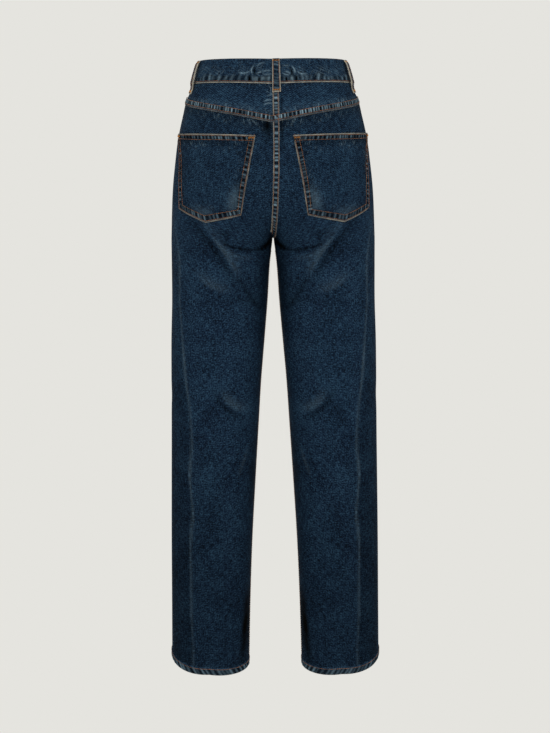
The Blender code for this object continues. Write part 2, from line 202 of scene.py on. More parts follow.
# The largest folds, which the solids have too. The finer ones are the creases further down.
FOLDS = (
    Fold((0.640, 0.277), (0.675, 0.350), (0.730, 0.395), 0.014, -0.0035),
    Fold((0.672, 0.272), (0.700, 0.320), (0.765, 0.385), 0.014, 0.0025),
    Fold((0.750, 0.365), (0.812, 0.395), (0.930, 0.415), 0.013, -0.0030),
    Fold((0.703, 0.300), (0.760, 0.316), (0.900, 0.316), 0.012, -0.0030),
    Fold((0.620, 0.562), (0.690, 0.600), (0.830, 0.612), 0.015, -0.0025),
    Fold((0.060, 0.250), (0.150, 0.235), (0.330, 0.185), 0.014, -0.0025),
    Fold((0.080, 0.300), (0.180, 0.300), (0.340, 0.265), 0.014, -0.0025),
    Fold((0.130, 0.560), (0.240, 0.600), (0.380, 0.570), 0.016, -0.0030),
)


@dataclass
class JeansForm:
    """The garment's surface: a hip section that turns into two leg sections, with its folds."""

    sections: tuple[Section, ...] = SECTIONS
    folds: tuple[Fold, ...] = FOLDS
    hip_squareness: float = 2.35
    leg_squareness: float = 2.25
    leg_begins: float = 2.4
    leg_is_round: float = 3.2
    hem_outer_rise: float = 0.0098
    hem_back_dip: float = 0.0060
    hem_sides_rise: float = 0.0041
    hem_corner_dip: float = 0.0060
    fold_free_edge: float = 0.08
    fold_steps: int = 24
    # A fold is strongest at its middle: the stretch of half a wave that its height follows.
    fold_wave_start: float = 0.08
    fold_wave_length: float = 0.84
    table_columns: int = 221
    table_rows: int = 1201
    table_margin: float = 0.05
    path_spacing: float = 0.001
    path_parts: int = 60

    def column(self, name: str, drop: Array) -> Array:
        """Interpolate one column of the section table smoothly.

        Args:
            name: The column's name.
            drop: Drops below the waistband's top edge.

        Returns:
            The column's value at each drop.
        """
        drops = np.array([section.drop for section in self.sections])
        values = np.array([getattr(section, name) for section in self.sections])
        slopes = np.gradient(values, drops)
        drop = np.clip(drop, drops[0], drops[-1])
        low = np.clip(np.searchsorted(drops, drop) - 1, 0, len(drops) - 2)
        step = drops[low + 1] - drops[low]
        t = (drop - drops[low]) / step
        return (
            values[low] * (1 + 2 * t) * (1 - t) ** 2
            + slopes[low] * step * t * (1 - t) ** 2
            + values[low + 1] * t**2 * (3 - 2 * t)
            + slopes[low + 1] * step * t**2 * (t - 1)
        )

    def centre_seam(self, end: str, row: Array) -> tuple[Array, Array]:
        """Follow a centre seam down and round under to the crotch.

        Args:
            end: front or back.
            row: Row numbers.

        Returns:
            The drop, and the share of the hip's depth that is left, at each row.
        """
        top, seam, yoke, crotch, hem = (getattr(level, end) for level in LEVELS)
        start = getattr(ROUND_UNDER, end)
        straight = start - yoke
        curved = 0.25 * np.pi * (crotch - start + self.column(end, np.array(start)))
        along = np.clip(row - 2, 0, 1) * (straight + curved)
        turn = np.clip((along - straight) / curved, 0, 1) * 0.5 * np.pi
        in_seat = yoke + np.minimum(along, straight) + (crotch - start) * np.sin(turn)
        drop = np.where(row < 2, np.interp(row, (0, 1, 2), (top, seam, yoke)), in_seat)
        drop = np.where(row > 3, np.interp(row, (3, 4), (crotch, hem)), drop)
        return drop, np.cos(turn)

    @staticmethod
    def superellipse(angle: Array, wide: Array, deep: Array, squareness: float) -> tuple[Array, Array]:
        """Find the point at a polar angle on a rounded square section.

        Args:
            angle: Polar angles.
            wide: Half widths.
            deep: Half depths.
            squareness: 2 is an ellipse, more is squarer.

        Returns:
            The x and y of each point.
        """
        reach = np.abs(np.cos(angle) / wide) ** squareness + np.abs(np.sin(angle) / deep) ** squareness
        reach = reach ** (-1 / squareness)
        return reach * np.cos(angle), reach * np.sin(angle)

    def base(self, around: Array, row: Array) -> Array:
        """Place the left half's cloth without folds.

        Args:
            around: 0 centre front or inseam, 0.5 side seam, 1 centre back or inseam.
            row: 0 waist top, 1 waistband seam, 2 yoke seam, 3 crotch, 4 hem.

        Returns:
            Points, the last axis holding x, y and z.
        """
        around, row = paired(around, row)
        past = (around < 0) | (around > 1)
        around = 1 - np.abs(1 - np.abs(around))
        is_back = around > 0.5
        side_drop = np.interp(row, range(5), [level.side for level in LEVELS])
        front_drop, front_share = self.centre_seam("front", row)
        back_drop, back_share = self.centre_seam("back", row)
        end_drop = np.where(is_back, back_drop, front_drop)
        from_side = np.abs(around - 0.5) * 2
        at_side = 1 - step_up(row, self.leg_begins, self.leg_is_round)
        hip_share = at_side + (np.where(is_back, back_share, front_share) - at_side) * from_side**4
        swing_share = np.cos((around - 0.5) * np.pi) ** 2
        hem_angle = (around - 0.5) * 2 * np.pi + self.sections[-1].seam_swing * swing_share
        hem_edge = self.hem_back_dip * np.sin(hem_angle) - self.hem_outer_rise * np.cos(hem_angle)
        hem_edge = hem_edge - self.hem_sides_rise * np.cos(2 * hem_angle)
        corner = np.clip(np.sin(2 * hem_angle), 0, 1) * (hem_angle > 0)
        hem_edge = hem_edge + self.hem_corner_dip * corner
        drop = side_drop + (end_drop - side_drop) * from_side + hem_edge * np.clip(row - 3, 0, 1) ** 4
        names = [f.name for f in fields(Section)][1:]
        outer, inner, front, back, swing = (self.column(name, drop) for name in names)
        depth = np.where(is_back, back, front)
        hip_x, hip_y = self.superellipse((around - 0.5) * np.pi, outer, depth, self.hip_squareness)
        angle = (around - 0.5) * 2 * np.pi + swing * swing_share
        depth = np.where(angle > 0, back, front)
        leg_x, leg_y = self.superellipse(angle, 0.5 * (outer - inner), depth, self.leg_squareness)
        leg_x = leg_x + 0.5 * (outer + inner)
        x = (leg_x + (hip_x - leg_x) * hip_share) * np.where(past, -1, 1)
        y = leg_y + (hip_y - leg_y) * hip_share
        return np.stack([x, y, TOP_ABOVE_ORIGIN - drop], axis=-1)

    def fold_height(self, around: Array, drop: Array) -> Array:
        """Sum the folds.

        Args:
            around: Shares round.
            drop: Drops.

        Returns:
            How far the cloth is raised or sunk.
        """
        total = np.zeros(np.shape(around))
        t = np.linspace(0, 1, self.fold_steps)
        weights = ((1 - t) ** 2, 2 * t * (1 - t), t**2)
        wave = np.sin(np.pi * (self.fold_wave_start + self.fold_wave_length * t))
        for fold in self.folds:
            stops = (fold.start, fold.middle, fold.end)
            along = sum(w * stop[0] for w, stop in zip(weights, stops))
            down = sum(w * stop[1] for w, stop in zip(weights, stops))
            reach = np.hypot((around[..., None] - along) * ROUND_LENGTH, drop[..., None] - down)
            total += fold.height * (bell(reach, fold.half_width) * wave).max(axis=-1)
        return total * step_up(np.minimum(around, 1 - around), 0, self.fold_free_edge)

    def normal(self, around: Array, row: Array) -> Array:
        """Work out the outward normals of the unfolded cloth.

        Args:
            around: Shares round.
            row: Row numbers.

        Returns:
            Unit normals.
        """
        u, v = around, np.clip(row, FINE, 4 - FINE)
        across = self.base(u + FINE, v) - self.base(u - FINE, v)
        down = self.base(u, v + FINE) - self.base(u, v - FINE)
        normal = np.cross(down, across)
        return normal / np.linalg.norm(normal, axis=-1, keepdims=True)

    def surface(self, around: Array, row: Array, lift: Array | float = 0.0) -> Array:
        """Place the left half's cloth with its folds, moved out by lift.

        Args:
            around: Shares round.
            row: Row numbers.
            lift: Height over the cloth.

        Returns:
            Points.
        """
        around, row = paired(around, row)
        here = self.base(around, row)
        height = lift + self.fold_height(around, TOP_ABOVE_ORIGIN - here[..., 2])
        return here + self.normal(around, row) * height[..., None]

    def __post_init__(self) -> None:
        """Tabulate the drop and the distance from the side seam over shares and rows."""
        around = np.linspace(-self.table_margin, 1 + self.table_margin, self.table_columns)
        rows = np.linspace(0, 4, self.table_rows)
        points = self.base(around[:, None], rows[None, :])
        self.drops = TOP_ABOVE_ORIGIN - points[..., 2]
        steps = np.linalg.norm(np.diff(points, axis=0), axis=-1)
        run = np.concatenate([np.zeros((1, len(rows))), np.cumsum(steps, axis=0)])
        self.across = run - run[self.table_columns // 2]

    def table_place(self, around: Array) -> tuple[Array, Array]:
        """Find where shares round fall in the tables.

        Args:
            around: Shares round.

        Returns:
            The column before each share, and how far it is to the next.
        """
        margin = self.table_margin
        inside = np.clip(around, 0.001 - margin, 0.999 + margin)
        at = (inside + margin) / (1 + 2 * margin) * (self.table_columns - 1)
        low = np.clip(at.astype(int), 0, self.table_columns - 2)
        return low, at - low

    def row_at(self, around: Array, drop: Array) -> Array:
        """Find the rows where the cloth reaches these drops.

        Args:
            around: Shares round.
            drop: Drops.

        Returns:
            Row numbers, in the same shape.
        """
        around, drop = paired(around, drop)
        low, part = self.table_place(around)
        rows = np.linspace(0, 4, self.table_rows)
        found = np.zeros(drop.shape)
        for column in np.unique(low):
            here = low == column
            before = np.interp(drop[here], self.drops[column], rows)
            after = np.interp(drop[here], self.drops[column + 1], rows)
            found[here] = before * (1 - part[here]) + after * part[here]
        return found

    def flat(self, around: Array, row: Array) -> Array:
        """Flat cloth coordinates: distance from the side seam, and distance down, in metres.

        Args:
            around: Shares round.
            row: Row numbers.

        Returns:
            Pairs, on the last axis.
        """
        around, row = paired(around, row)
        low, part = self.table_place(around)
        at = np.clip(row, 0, 4) / 4 * (self.table_rows - 1)
        top = np.clip(at.astype(int), 0, self.table_rows - 2)
        down = at - top
        pair = []
        for table in (self.across, self.drops):
            before = table[low, top] * (1 - down) + table[low, top + 1] * down
            after = table[low + 1, top] * (1 - down) + table[low + 1, top + 1] * down
            pair.append(before * (1 - part) + after * part)
        return np.stack(pair, axis=-1)

    def beside(self, around: Array, row: Array, distance: Array) -> tuple[Array, Array]:
        """Step sideways from a path on the cloth: to its left, seen from outside going along it.

        Args:
            around: Shares round of the path's points.
            row: Row numbers of the path's points.
            distance: Steps, one for each wanted column.

        Returns:
            Shares round and row numbers, a column for each step.
        """
        step = 2 * FINE
        here = self.base(around, row)
        along = np.gradient(here, axis=0)
        across = np.cross(self.normal(around, row), along)
        across /= np.linalg.norm(across, axis=-1, keepdims=True)
        by_share = (self.base(around + FINE, row) - self.base(around - FINE, row)) / step
        upper, lower = np.clip(row - FINE, 0, 4), np.clip(row + FINE, 0, 4)
        by_row = (self.base(around, lower) - self.base(around, upper)) / (lower - upper)[:, None]
        left = np.stack([by_share, by_row], axis=-1)
        square = np.einsum("nki,nkj->nij", left, left)
        wanted = np.einsum("nki,nk->ni", left, across)
        moved = np.linalg.solve(square, wanted[..., None])[..., 0]
        return (
            around[:, None] + moved[:, :1] * distance[None, :],
            row[:, None] + moved[:, 1:] * distance[None, :],
        )

    def path(self, stops: Sequence[tuple[float, float]], by_drop: bool = False) -> tuple[Array, Array]:
        """Run between these places on the cloth.

        Args:
            stops: Share round of each place, with its row number or its drop.
            by_drop: True where the stops give drops.

        Returns:
            Shares round and row numbers.
        """
        share = np.linspace(0, len(stops) - 1, self.path_parts * (len(stops) - 1) + 1)
        around, row = (np.interp(share, range(len(stops)), column) for column in zip(*stops))
        if by_drop:
            row = self.row_at(around, row)
        values = np.stack([around, row], axis=1)
        values = evenly(self.base(around, row), self.path_spacing, (values,))[1]
        return values[:, 0], values[:, 1]


# How puckers vary, least and span: their spacing, their strength and their width.
PUCKER_SPREADS = ((0.6, 0.8), (0.35, 0.65), (0.75, 0.5))


def puckers(along: Array, pitch: float, seed: int, width: float = 0.26) -> Array:
    """Raise irregular puckers, as a sewn seam draws up in the wash.

    Args:
        along: Distance along the seam.
        pitch: Mean distance between two puckers.
        seed: Seed of their places and strengths.
        width: A pucker's mean width as a share of the pitch.

    Returns:
        0 in the hollows to about 1 on the tops.
    """
    random = np.random.default_rng(seed)
    low, high = float(np.min(along)) - pitch, float(np.max(along)) + pitch
    count = int((high - low) / pitch) + 3
    steps, strengths, widths = (least + span * random.random(count) for least, span in PUCKER_SPREADS)
    centres = low + np.cumsum(pitch * steps)
    total = np.zeros(np.shape(along))
    for centre, strength, half in zip(centres, strengths, pitch * width * widths):
        total = np.maximum(total, strength * bell(along - centre, half))
    return total


def line_noise(along: Array, pitch: float, seed: int) -> Array:
    """Draw smooth noise along a line.

    Args:
        along: Distance along the line.
        pitch: Distance between its random values.
        seed: Seed of the values.

    Returns:
        Values from 0 to 1.
    """
    random = np.random.default_rng(seed)
    low, high = float(np.min(along)), float(np.max(along))
    count = int((high - low) / pitch) + 4
    values = random.random(count)
    at = (along - low) / pitch
    index = np.clip(at.astype(int), 0, count - 2)
    t = step_up(at - index, 0, 1)
    return values[index] * (1 - t) + values[index + 1] * t


def paired(first: Array | float, second: Array | float) -> list[Array]:
    """Give both as arrays of one shape."""
    return np.broadcast_arrays(np.asarray(first, float), np.asarray(second, float))


def bell(distance: Array, half: float) -> Array:
    """Fall off smoothly from 1 at no distance."""
    return np.exp(-((distance / half) ** 2))


def step_up(value: Array, low: float, high: float) -> Array:
    """Rise smoothly from 0 at low to 1 at high."""
    t = np.clip((value - low) / (high - low), 0, 1)
    return t * t * (3 - 2 * t)


def plateau(value: Array, rise: float, top: float, end: float, foot: float) -> Array:
    """Rise smoothly from 0 at rise to 1 at top, stay there to end, and fall to 0 at foot."""
    return step_up(value, rise, top) * (1 - step_up(value, end, foot))


def zigzag(count: int, height: float) -> Array:
    """Swing to and fro by height, as a bartack's needle does."""
    return height * np.where(np.arange(count) % 2, 1, -1)


def evenly(points: Array, spacing: float, extra: Sequence[Array] = ()) -> tuple[Array, ...]:
    """Respace a line, and values along it.

    Args:
        points: The line's points.
        spacing: Wanted distance between points.
        extra: Further arrays, one row for each point.

    Returns:
        The new points and the new extra arrays.
    """
    along = arc_length(points)
    at = np.linspace(0, along[-1], max(2, int(round(along[-1] / spacing)) + 1))
    out = []
    for values in (points, *extra):
        out.append(np.stack([np.interp(at, along, column) for column in values.T], axis=1))
    return tuple(out)


def arc_length(points: Array) -> Array:
    """Give each point's distance along the line."""
    steps = np.linalg.norm(np.diff(points, axis=0), axis=1)
    return np.concatenate([[0.0], np.cumsum(steps)])


@dataclass(frozen=True)
class Crease:
    """A small crease, in millimetres: x to the wearer's left and drop of three places, and half width.

    The cloth rises along it, and paint says how pale it is rubbed there, on the leg's ridges as a painted
    highlight, or, if negative, how dark its painted shade is.
    """

    start: tuple[float, float]
    bend: tuple[float, float]
    end: tuple[float, float]
    half: float
    rise: float
    paint: float


# Round the centre back: the band's drawn-in eyes and their wrinkles, then the yoke's, then below it.
# Negative paint is painted shade: in the eyes, in the troughs and under the yoke seam's crossing.
CENTRE_CREASES = (
    Crease((28, 14), (31, 21), (28, 28), 2.2, -0.9, -1.0),
    Crease((31, 12), (37, 19), (33, 25), 0.9, 0.5, 0.75),
    Crease((26, 12), (19, 6), (12, 7), 0.9, 0.3, 0.30),
    Crease((26, 26), (20, 20), (15, 24), 0.9, 0.4, 0.55),
    Crease((18, 25), (17, 23), (16, 22), 1.0, -0.2, -0.7),
    Crease((16, 21), (11, 20), (1, 20), 0.9, 0.3, 0.40),
    Crease((15, 26), (9, 28), (0, 25), 0.9, 0.3, 0.35),
    Crease((56, 23), (44, 26), (37, 20), 0.9, 0.4, 0.50),
    Crease((29, 31), (28, 33), (29, 36), 2.8, 0.6, 0.60),
    Crease((18, 33), (11, 33), (2, 33), 2.6, 0.5, 0.45),
    Crease((22, 30), (23, 34), (22, 39), 1.4, -0.6, -0.9),
    Crease((38, 30), (38, 34), (38, 39), 1.6, -0.6, -0.8),
    Crease((-29, 15), (-35, 21), (-32, 28), 2.2, -0.9, -1.0),
    Crease((-33, 13), (-40, 19), (-37, 25), 0.9, 0.5, 0.75),
    Crease((-18, 12), (-23, 11), (-28, 12), 0.9, 0.3, 0.30),
    Crease((-17, 24), (-23, 28), (-28, 27), 0.9, 0.4, 0.50),
    Crease((-21, 22), (-27, 21), (-33, 29), 0.9, 0.3, 0.45),
    Crease((-42, 21), (-49, 27), (-58, 25), 0.9, 0.4, 0.55),
    Crease((-33, 31), (-33, 33), (-33, 36), 3.0, 0.6, 0.60),
    Crease((-24, 31), (-24, 35), (-24, 39), 1.4, -0.6, -0.9),
    Crease((-41, 28), (-41, 33), (-41, 38), 1.6, -0.6, -0.8),
    Crease((6, 46), (1, 50), (3, 57), 0.8, 0.4, 0.50),
    Crease((10, 55), (4, 56), (0, 61), 0.8, 0.3, 0.35),
    Crease((9, 63), (4, 60), (-1, 61), 0.8, 0.3, 0.40),
    Crease((14, 72), (7, 68), (-1, 70), 0.9, 0.4, 0.50),
    Crease((14, 78), (9, 74), (0, 75), 0.9, 0.4, 0.50),
    Crease((5, 49), (4, 53), (5, 58), 1.8, -0.4, -0.50),
    Crease((-15, 56), (-15, 76), (-15, 96), 2.2, -0.5, -0.55),
    Crease((34, 102), (30, 106), (27, 111), 0.9, 0.4, 0.45),
    Crease((42, 101), (39, 105), (35, 113), 0.8, 0.3, 0.35),
    Crease((18, 103), (14, 106), (10, 105), 0.9, 0.3, 0.40),
    Crease((-38, 99), (-34, 106), (-30, 113), 0.9, 0.4, 0.45),
    Crease((-20, 103), (-26, 102), (-33, 100), 0.9, 0.3, 0.35),
    Crease((8, 100), (10, 116), (6, 140), 8.5, -0.8, -0.62),
    Crease((-15, 96), (-15, 120), (-15, 158), 3.5, -0.5, -0.50),
)
# On the back of each leg: the troughs and ridges that run in from the pocket, the fold under the
# seat, the knee's, and those of the lower inner leg.
# Negative paint is painted shade in the troughs and in the fold under the seat; positive paint is a painted
# highlight on the ridges.
BACK_CREASES = (
    Crease((143, 265), (100, 312), (59, 380), 5.5, -2.0, -0.46),
    Crease((63, 360), (43, 390), (25, 418), 5.0, -1.5, -0.42),
    Crease((113, 276), (86, 316), (50, 380), 4.2, 1.0, 0.08),
    Crease((104, 294), (76, 340), (20, 331), 4.5, 0.8, 0.035),
    Crease((91, 299), (67, 326), (5, 317), 2.4, -1.5, -0.95),
    Crease((22, 316), (5, 314), (1, 292), 4.5, -0.8, -0.85),
    Crease((78, 289), (78, 299), (75, 309), 1.8, -0.5, -0.60),
    Crease((100, 285), (85, 294), (58, 281), 8.0, -0.6, -0.25),
    Crease((125, 365), (110, 385), (83, 387), 12.0, 1.2, 0.07),
    Crease((135, 367), (102, 404), (51, 404), 6.0, -1.0, -0.16),
    Crease((60, 402), (40, 405), (21, 416), 6.0, -1.0, -0.22),
    # Painted shade alone, with no rise: the inner thigh turning away beside the gap between the legs.
    Crease((8, 300), (12, 360), (19, 450), 13.0, 0.0, -0.40),
    Crease((104, 559), (85, 599), (50, 608), 3.6, -1.6, -0.50),
    Crease((85, 566), (72, 588), (52, 590), 8.0, 1.0, 0.08),
    Crease((40, 644), (50, 679), (62, 707), 2.5, 0.8, 0.08),
    Crease((36, 655), (37, 704), (36, 765), 8.0, -1.0, -0.28),
    Crease((47, 916), (51, 978), (58, 1041), 6.0, -1.5, -0.75),
    Crease((53, 921), (60, 974), (68, 1034), 2.2, 0.7, 0.08),
)
# Not in the photo: like folds on the front, from the crotch to the hip, at the knee and the ankle.
# As at the back, negative paint is painted shade in the troughs and positive paint a painted highlight on the
# ridges.
FRONT_CREASES = (
    Crease((8, 252), (60, 238), (122, 204), 4.5, -1.4, -0.22),
    Crease((12, 264), (62, 252), (112, 230), 3.5, 0.9, 0.08),
    Crease((10, 278), (52, 270), (104, 252), 4.0, -1.1, -0.20),
    Crease((14, 304), (48, 309), (92, 296), 5.0, -1.2, -0.18),
    Crease((120, 556), (92, 590), (58, 584), 6.0, -1.6, -0.22),
    Crease((128, 578), (96, 606), (66, 600), 4.0, 1.0, 0.07),
    Crease((132, 606), (102, 628), (74, 618), 6.0, -1.3, -0.18),
    Crease((152, 962), (112, 990), (72, 978), 6.0, -1.2, -0.15),
)


# A crease is read at this many places, and is strongest at its middle: start and length of the
# stretch of half a wave that its height follows.
CREASE_STEPS = 20
CREASE_WAVE = (0.10, 0.80)


def creased(points: Array, creases: Sequence[Crease]) -> tuple[Array, Array]:
    """Sum creases at these points.

    Args:
        points: Points of the cloth.
        creases: The creases of that part of the garment.

    Returns:
        The height that they add, and their paint: pale wear with a painted highlight on ridges, and painted
        shade where negative.
    """
    x, drop = points[..., 0] / MM, (TOP_ABOVE_ORIGIN - points[..., 2]) / MM
    height, paint = np.zeros(x.shape), np.zeros(x.shape)
    t = np.linspace(0, 1, CREASE_STEPS)
    strength = np.sin(np.pi * (CREASE_WAVE[0] + CREASE_WAVE[1] * t))
    for crease in creases:
        ends = zip(crease.start, crease.bend, crease.end)
        line = [a * (1 - t) ** 2 + b * 2 * t * (1 - t) + c * t**2 for a, b, c in ends]
        near = (np.abs(x - np.mean(line[0])) < np.ptp(line[0]) + 3 * crease.half) & (
            np.abs(drop - np.mean(line[1])) < np.ptp(line[1]) + 3 * crease.half
        )
        reach = np.hypot(x[near][:, None] - line[0], drop[near][:, None] - line[1])
        along = (bell(reach, crease.half) * strength).max(axis=-1, initial=0.0)
        height[near] += MM * crease.rise * along
        paint[near] += crease.paint * along
    return height, paint


@dataclass
class ClothLook:
    """What the denim reads at each point, 0 to 1: rubbed pale, partly as a painted highlight on fold ridges,
    cream at a folded edge, darkened by painted shade in hollows, troughs, grooves and under seams, streaked.
    """

    wear: Array | float = 0.0
    edge: Array | float = 0.0
    shade: Array | float = 0.0
    fray: Array | float = 0.0

    def paint(self, tint: Array) -> None:
        """Rub the cloth paler where the tint is positive, partly as a painted highlight on ridges, and paint
        shade where it is negative.
        """
        self.wear = self.wear + np.clip(tint, 0, 1)
        self.shade = self.shade + np.clip(-tint, 0, 1)


def grid_piece(
    name: str, points: Array, cloth: Array, look: ClothLook, finishes: Sequence[Any],
    side: Side = Side.LEFT, wall: float = 0.0, joined: bool = False,
) -> Any:
    """Make a cloth object from a grid of points.

    Args:
        name: The object's name.
        points: Rows down, columns round, xyz.
        cloth: Flat cloth coordinates of each point in metres.
        look: Wear values at each point.
        finishes: The outer material, and the inner one where it differs.
        side: RIGHT mirrors the left half's points.
        wall: Thickness added inwards; 0 leaves the grid as it is.
        joined: True where the last column meets the first.

    Returns:
        The object.
    """
    rows, columns = points.shape[:2]
    points = points * side.mirror
    index = np.arange(rows * columns).reshape(rows, columns)
    if joined:
        index = np.concatenate([index, index[:, :1]], axis=1)
    quads = np.stack([index[:-1, :-1], index[1:, :-1], index[1:, 1:], index[:-1, 1:]], axis=-1)
    quads = quads.reshape(-1, 4)
    if side is Side.RIGHT:
        quads = quads[:, ::-1]
    mesh = bpy.data.meshes.new(name)
    mesh.vertices.add(rows * columns)
    mesh.vertices.foreach_set("co", points.reshape(-1))
    mesh.loops.add(quads.size)
    mesh.loops.foreach_set("vertex_index", quads.reshape(-1))
    mesh.polygons.add(len(quads))
    mesh.polygons.foreach_set("loop_start", np.arange(0, quads.size, 4))
    mesh.update(calc_edges=True)
    layer = mesh.uv_layers.new(name="cloth")
    layer.data.foreach_set("uv", cloth.reshape(-1, 2)[quads.reshape(-1)].reshape(-1))
    for item in fields(ClothLook):
        values = np.broadcast_to(getattr(look, item.name), (rows, columns))
        attribute = mesh.attributes.new(item.name, "FLOAT", "POINT")
        attribute.data.foreach_set("value", np.clip(values, 0, 1).astype(np.float32).reshape(-1))
    for finish in finishes:
        mesh.materials.append(finish)
    mesh.shade_smooth()
    made = bpy.data.objects.new(name, mesh)
    bpy.context.scene.collection.objects.link(made)
    if wall:
        solid = made.modifiers.new("wall", "SOLIDIFY")
        solid.thickness = wall
        solid.offset = -1
        solid.material_offset = len(finishes) - 1
    return made


def dress(piece: Any, nodes: Sequence[str] = ()) -> Any:
    """Let a piece ride on the garment, and stand for its nodes.

    Args:
        piece: The object.
        nodes: Names of the nodes that it replaces.

    Returns:
        The piece.
    """
    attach(piece, BODY)
    if nodes:
        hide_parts(*nodes)
    LOG.info("%s stands for %s", piece.name, ", ".join(nodes) or "no node")
    return piece


# A wave texture repeats its bands at this size over its scale.
BAND_PERIOD = 0.314


@dataclass(frozen=True)
class DenimFinish:
    """Ring spun indigo denim, washed: a warp faced twill, dark blue with pale yarn cores showing.

    Slubs and uneven dye give streaks along and across the cloth, and folded edges are rubbed to
    cream. The real twill line is 0.9 mm, too fine for the picture, so it is drawn 2.4 mm wide.
    """

    name: str = "washed indigo denim"
    deep: str = "#080f17"
    body: str = "#122134"
    light: str = "#2b4559"
    pale: str = "#829dab"
    cream: str = "#b9b3a2"
    twill_mm: float = 2.4
    slub_mm: float = 1.6
    mottle_mm: float = 2.4
    cloud_mm: float = 48.0
    # Length and width of a rubbed mark beside a seam, and its slant.
    scratch_mm: tuple[float, float] = (16.0, 1.7)
    scratch_turn: float = 56.0
    twill_turn: float = 63.0
    # What each pattern adds to the tone, and the tones at which the three dyes lie.
    warp_share: float = 0.28
    weft_share: float = 0.36
    mottle_share: float = 0.36
    cloud_share: float = 0.16
    twill_share: float = 0.10
    deep_at: float = 0.39
    body_at: float = 0.50
    light_at: float = 0.65
    # Noise over this gives marks, and how sharply.
    scratch_over: float = 0.62
    scratch_gain: float = 9.0
    worn_gain: float = 1.7
    edge_base: float = 0.40
    relief_mm: float = 0.6
    roughness: float = 0.88
    gloss: float = 0.02

    def material(self) -> Any:
        """Build the material.

        Returns:
            The material, which reads the piece's cloth coordinates and wear values.
        """
        made, graph = shader_graph(self.name)
        noise, maths, mapping = "ShaderNodeTexNoise", "ShaderNodeMath", "ShaderNodeMapping"
        flat = {"noise_dimensions": "2D"}
        graph.add("cloth", "ShaderNodeUVMap", {"uv_map": "cloth"})
        # Name, width and height in millimetres, turn in degrees, and detail.
        patterns = (
            ("mottle", self.mottle_mm, self.mottle_mm, 0, 4.0),
            ("warp", self.slub_mm, self.slub_mm * 6, 0, 2.0),
            ("weft", self.slub_mm * 5, self.slub_mm, 0, 2.0),
            ("cloud", self.cloud_mm, self.cloud_mm, 0, 3.0),
            ("scratch", *self.scratch_mm, self.scratch_turn, 1.0),
        )
        texture = {"vector_type": "TEXTURE"}
        for name, wide, tall, turn, detail in patterns:
            size = {"Scale": (wide * MM, tall * MM, 1.0), "Rotation": (0.0, 0.0, math.radians(turn))}
            graph.add(name + " place", mapping, texture, {"Vector": "cloth", **size})
            inputs = {"Vector": name + " place", "Scale": 1.0, "Detail": detail, "Roughness": 0.6}
            graph.add(name, noise, flat, inputs)
        turned = {"Rotation": (0.0, 0.0, math.radians(self.twill_turn)), "Scale": (1 / MM, 1 / MM, 1.0)}
        graph.add("twill place", mapping, None, {"Vector": "cloth", **turned})
        graph.add(
            "twill", "ShaderNodeTexWave", {"wave_type": "BANDS", "bands_direction": "X"},
            {"Vector": "twill place", "Scale": BAND_PERIOD / self.twill_mm, "Distortion": 1.6, "Detail": 1.0},
        )
        for item in fields(ClothLook):
            graph.add(item.name, "ShaderNodeAttribute", {"attribute_name": item.name})
        # Name, operation, and its two terms: earlier nodes or numbers.
        sums = (
            ("warp part", "MULTIPLY", "warp", self.warp_share),
            ("weft part", "MULTIPLY", "weft", self.weft_share),
            ("mottle part", "MULTIPLY", "mottle", self.mottle_share),
            ("threads", "ADD", "warp part", "weft part"),
            ("yarn", "ADD", "threads", "mottle part"), ("cloud off", "SUBTRACT", "cloud", 0.5),
            ("cloud part", "MULTIPLY", "cloud off", self.cloud_share),
            ("clouded", "ADD", "yarn", "cloud part"), ("twill off", "SUBTRACT", "twill:1", 0.5),
            ("twill part", "MULTIPLY", "twill off", self.twill_share),
            ("tone", "ADD", "clouded", "twill part"),
            ("scratch off", "SUBTRACT", "scratch", self.scratch_over),
            ("scratch cut", "MULTIPLY", "scratch off", self.scratch_gain),
            ("scratches", "MULTIPLY", "scratch cut", "fray:2"),
            ("rubbed", "ADD", "wear:2", "scratches"), ("grain", "MULTIPLY", "yarn", self.worn_gain),
            ("worn", "MULTIPLY", "rubbed", "grain"), ("edge grain", "ADD", "mottle", self.edge_base),
            ("edge worn", "MULTIPLY", "edge:2", "edge grain"), ("lit", "SUBTRACT", 1.0, "shade:2"),
            ("relief twill", "MULTIPLY", "twill:1", 0.5), ("relief", "ADD", "relief twill", "yarn"),
            ("relief all", "ADD", "relief", "scratches"),
        )
        for name, operation, first, second in sums:
            clamp = name in ("scratches", "worn", "edge worn", "lit")
            graph.add(name, maths, {"operation": operation, "use_clamp": clamp}, {0: first, 1: second})
        ramp = graph.add("dye", "ShaderNodeValToRGB", None, {0: "tone"}).color_ramp
        ramp.elements[0].position, ramp.elements[0].color = self.deep_at, linear(self.deep)
        ramp.elements[1].position, ramp.elements[1].color = self.light_at, linear(self.light)
        ramp.elements.new(self.body_at).color = linear(self.body)
        # The painted shade, as a grey that the colour is multiplied by.
        graph.add("grey", "ShaderNodeCombineColor", None, {0: "lit", 1: "lit", 2: "lit"})
        # Name, blending, share, and the two colours.
        mixes = (
            ("worn dye", "MIX", "worn", "dye", linear(self.pale)),
            ("creamed", "MIX", "edge worn", "worn dye:2", linear(self.cream)),
            ("shaded", "MULTIPLY", 1.0, "creamed:2", "grey"),
        )
        for name, blend, share, first, second in mixes:
            settings = {"data_type": "RGBA", "blend_type": blend}
            graph.add(name, "ShaderNodeMix", settings, {0: share, 6: first, 7: second})
        relief = {"Height": "relief all", "Strength": 0.6, "Distance": self.relief_mm * MM}
        graph.add("bump", "ShaderNodeBump", None, relief)
        inputs = {
            "Base Color": "shaded:2", "Roughness": self.roughness, "Normal": "bump",
            "Specular IOR Level": self.gloss,
        }
        graph.add("shader", "ShaderNodeBsdfPrincipled", None, inputs)
        graph.add("output", "ShaderNodeOutputMaterial", None, {0: "shader"})
        return made


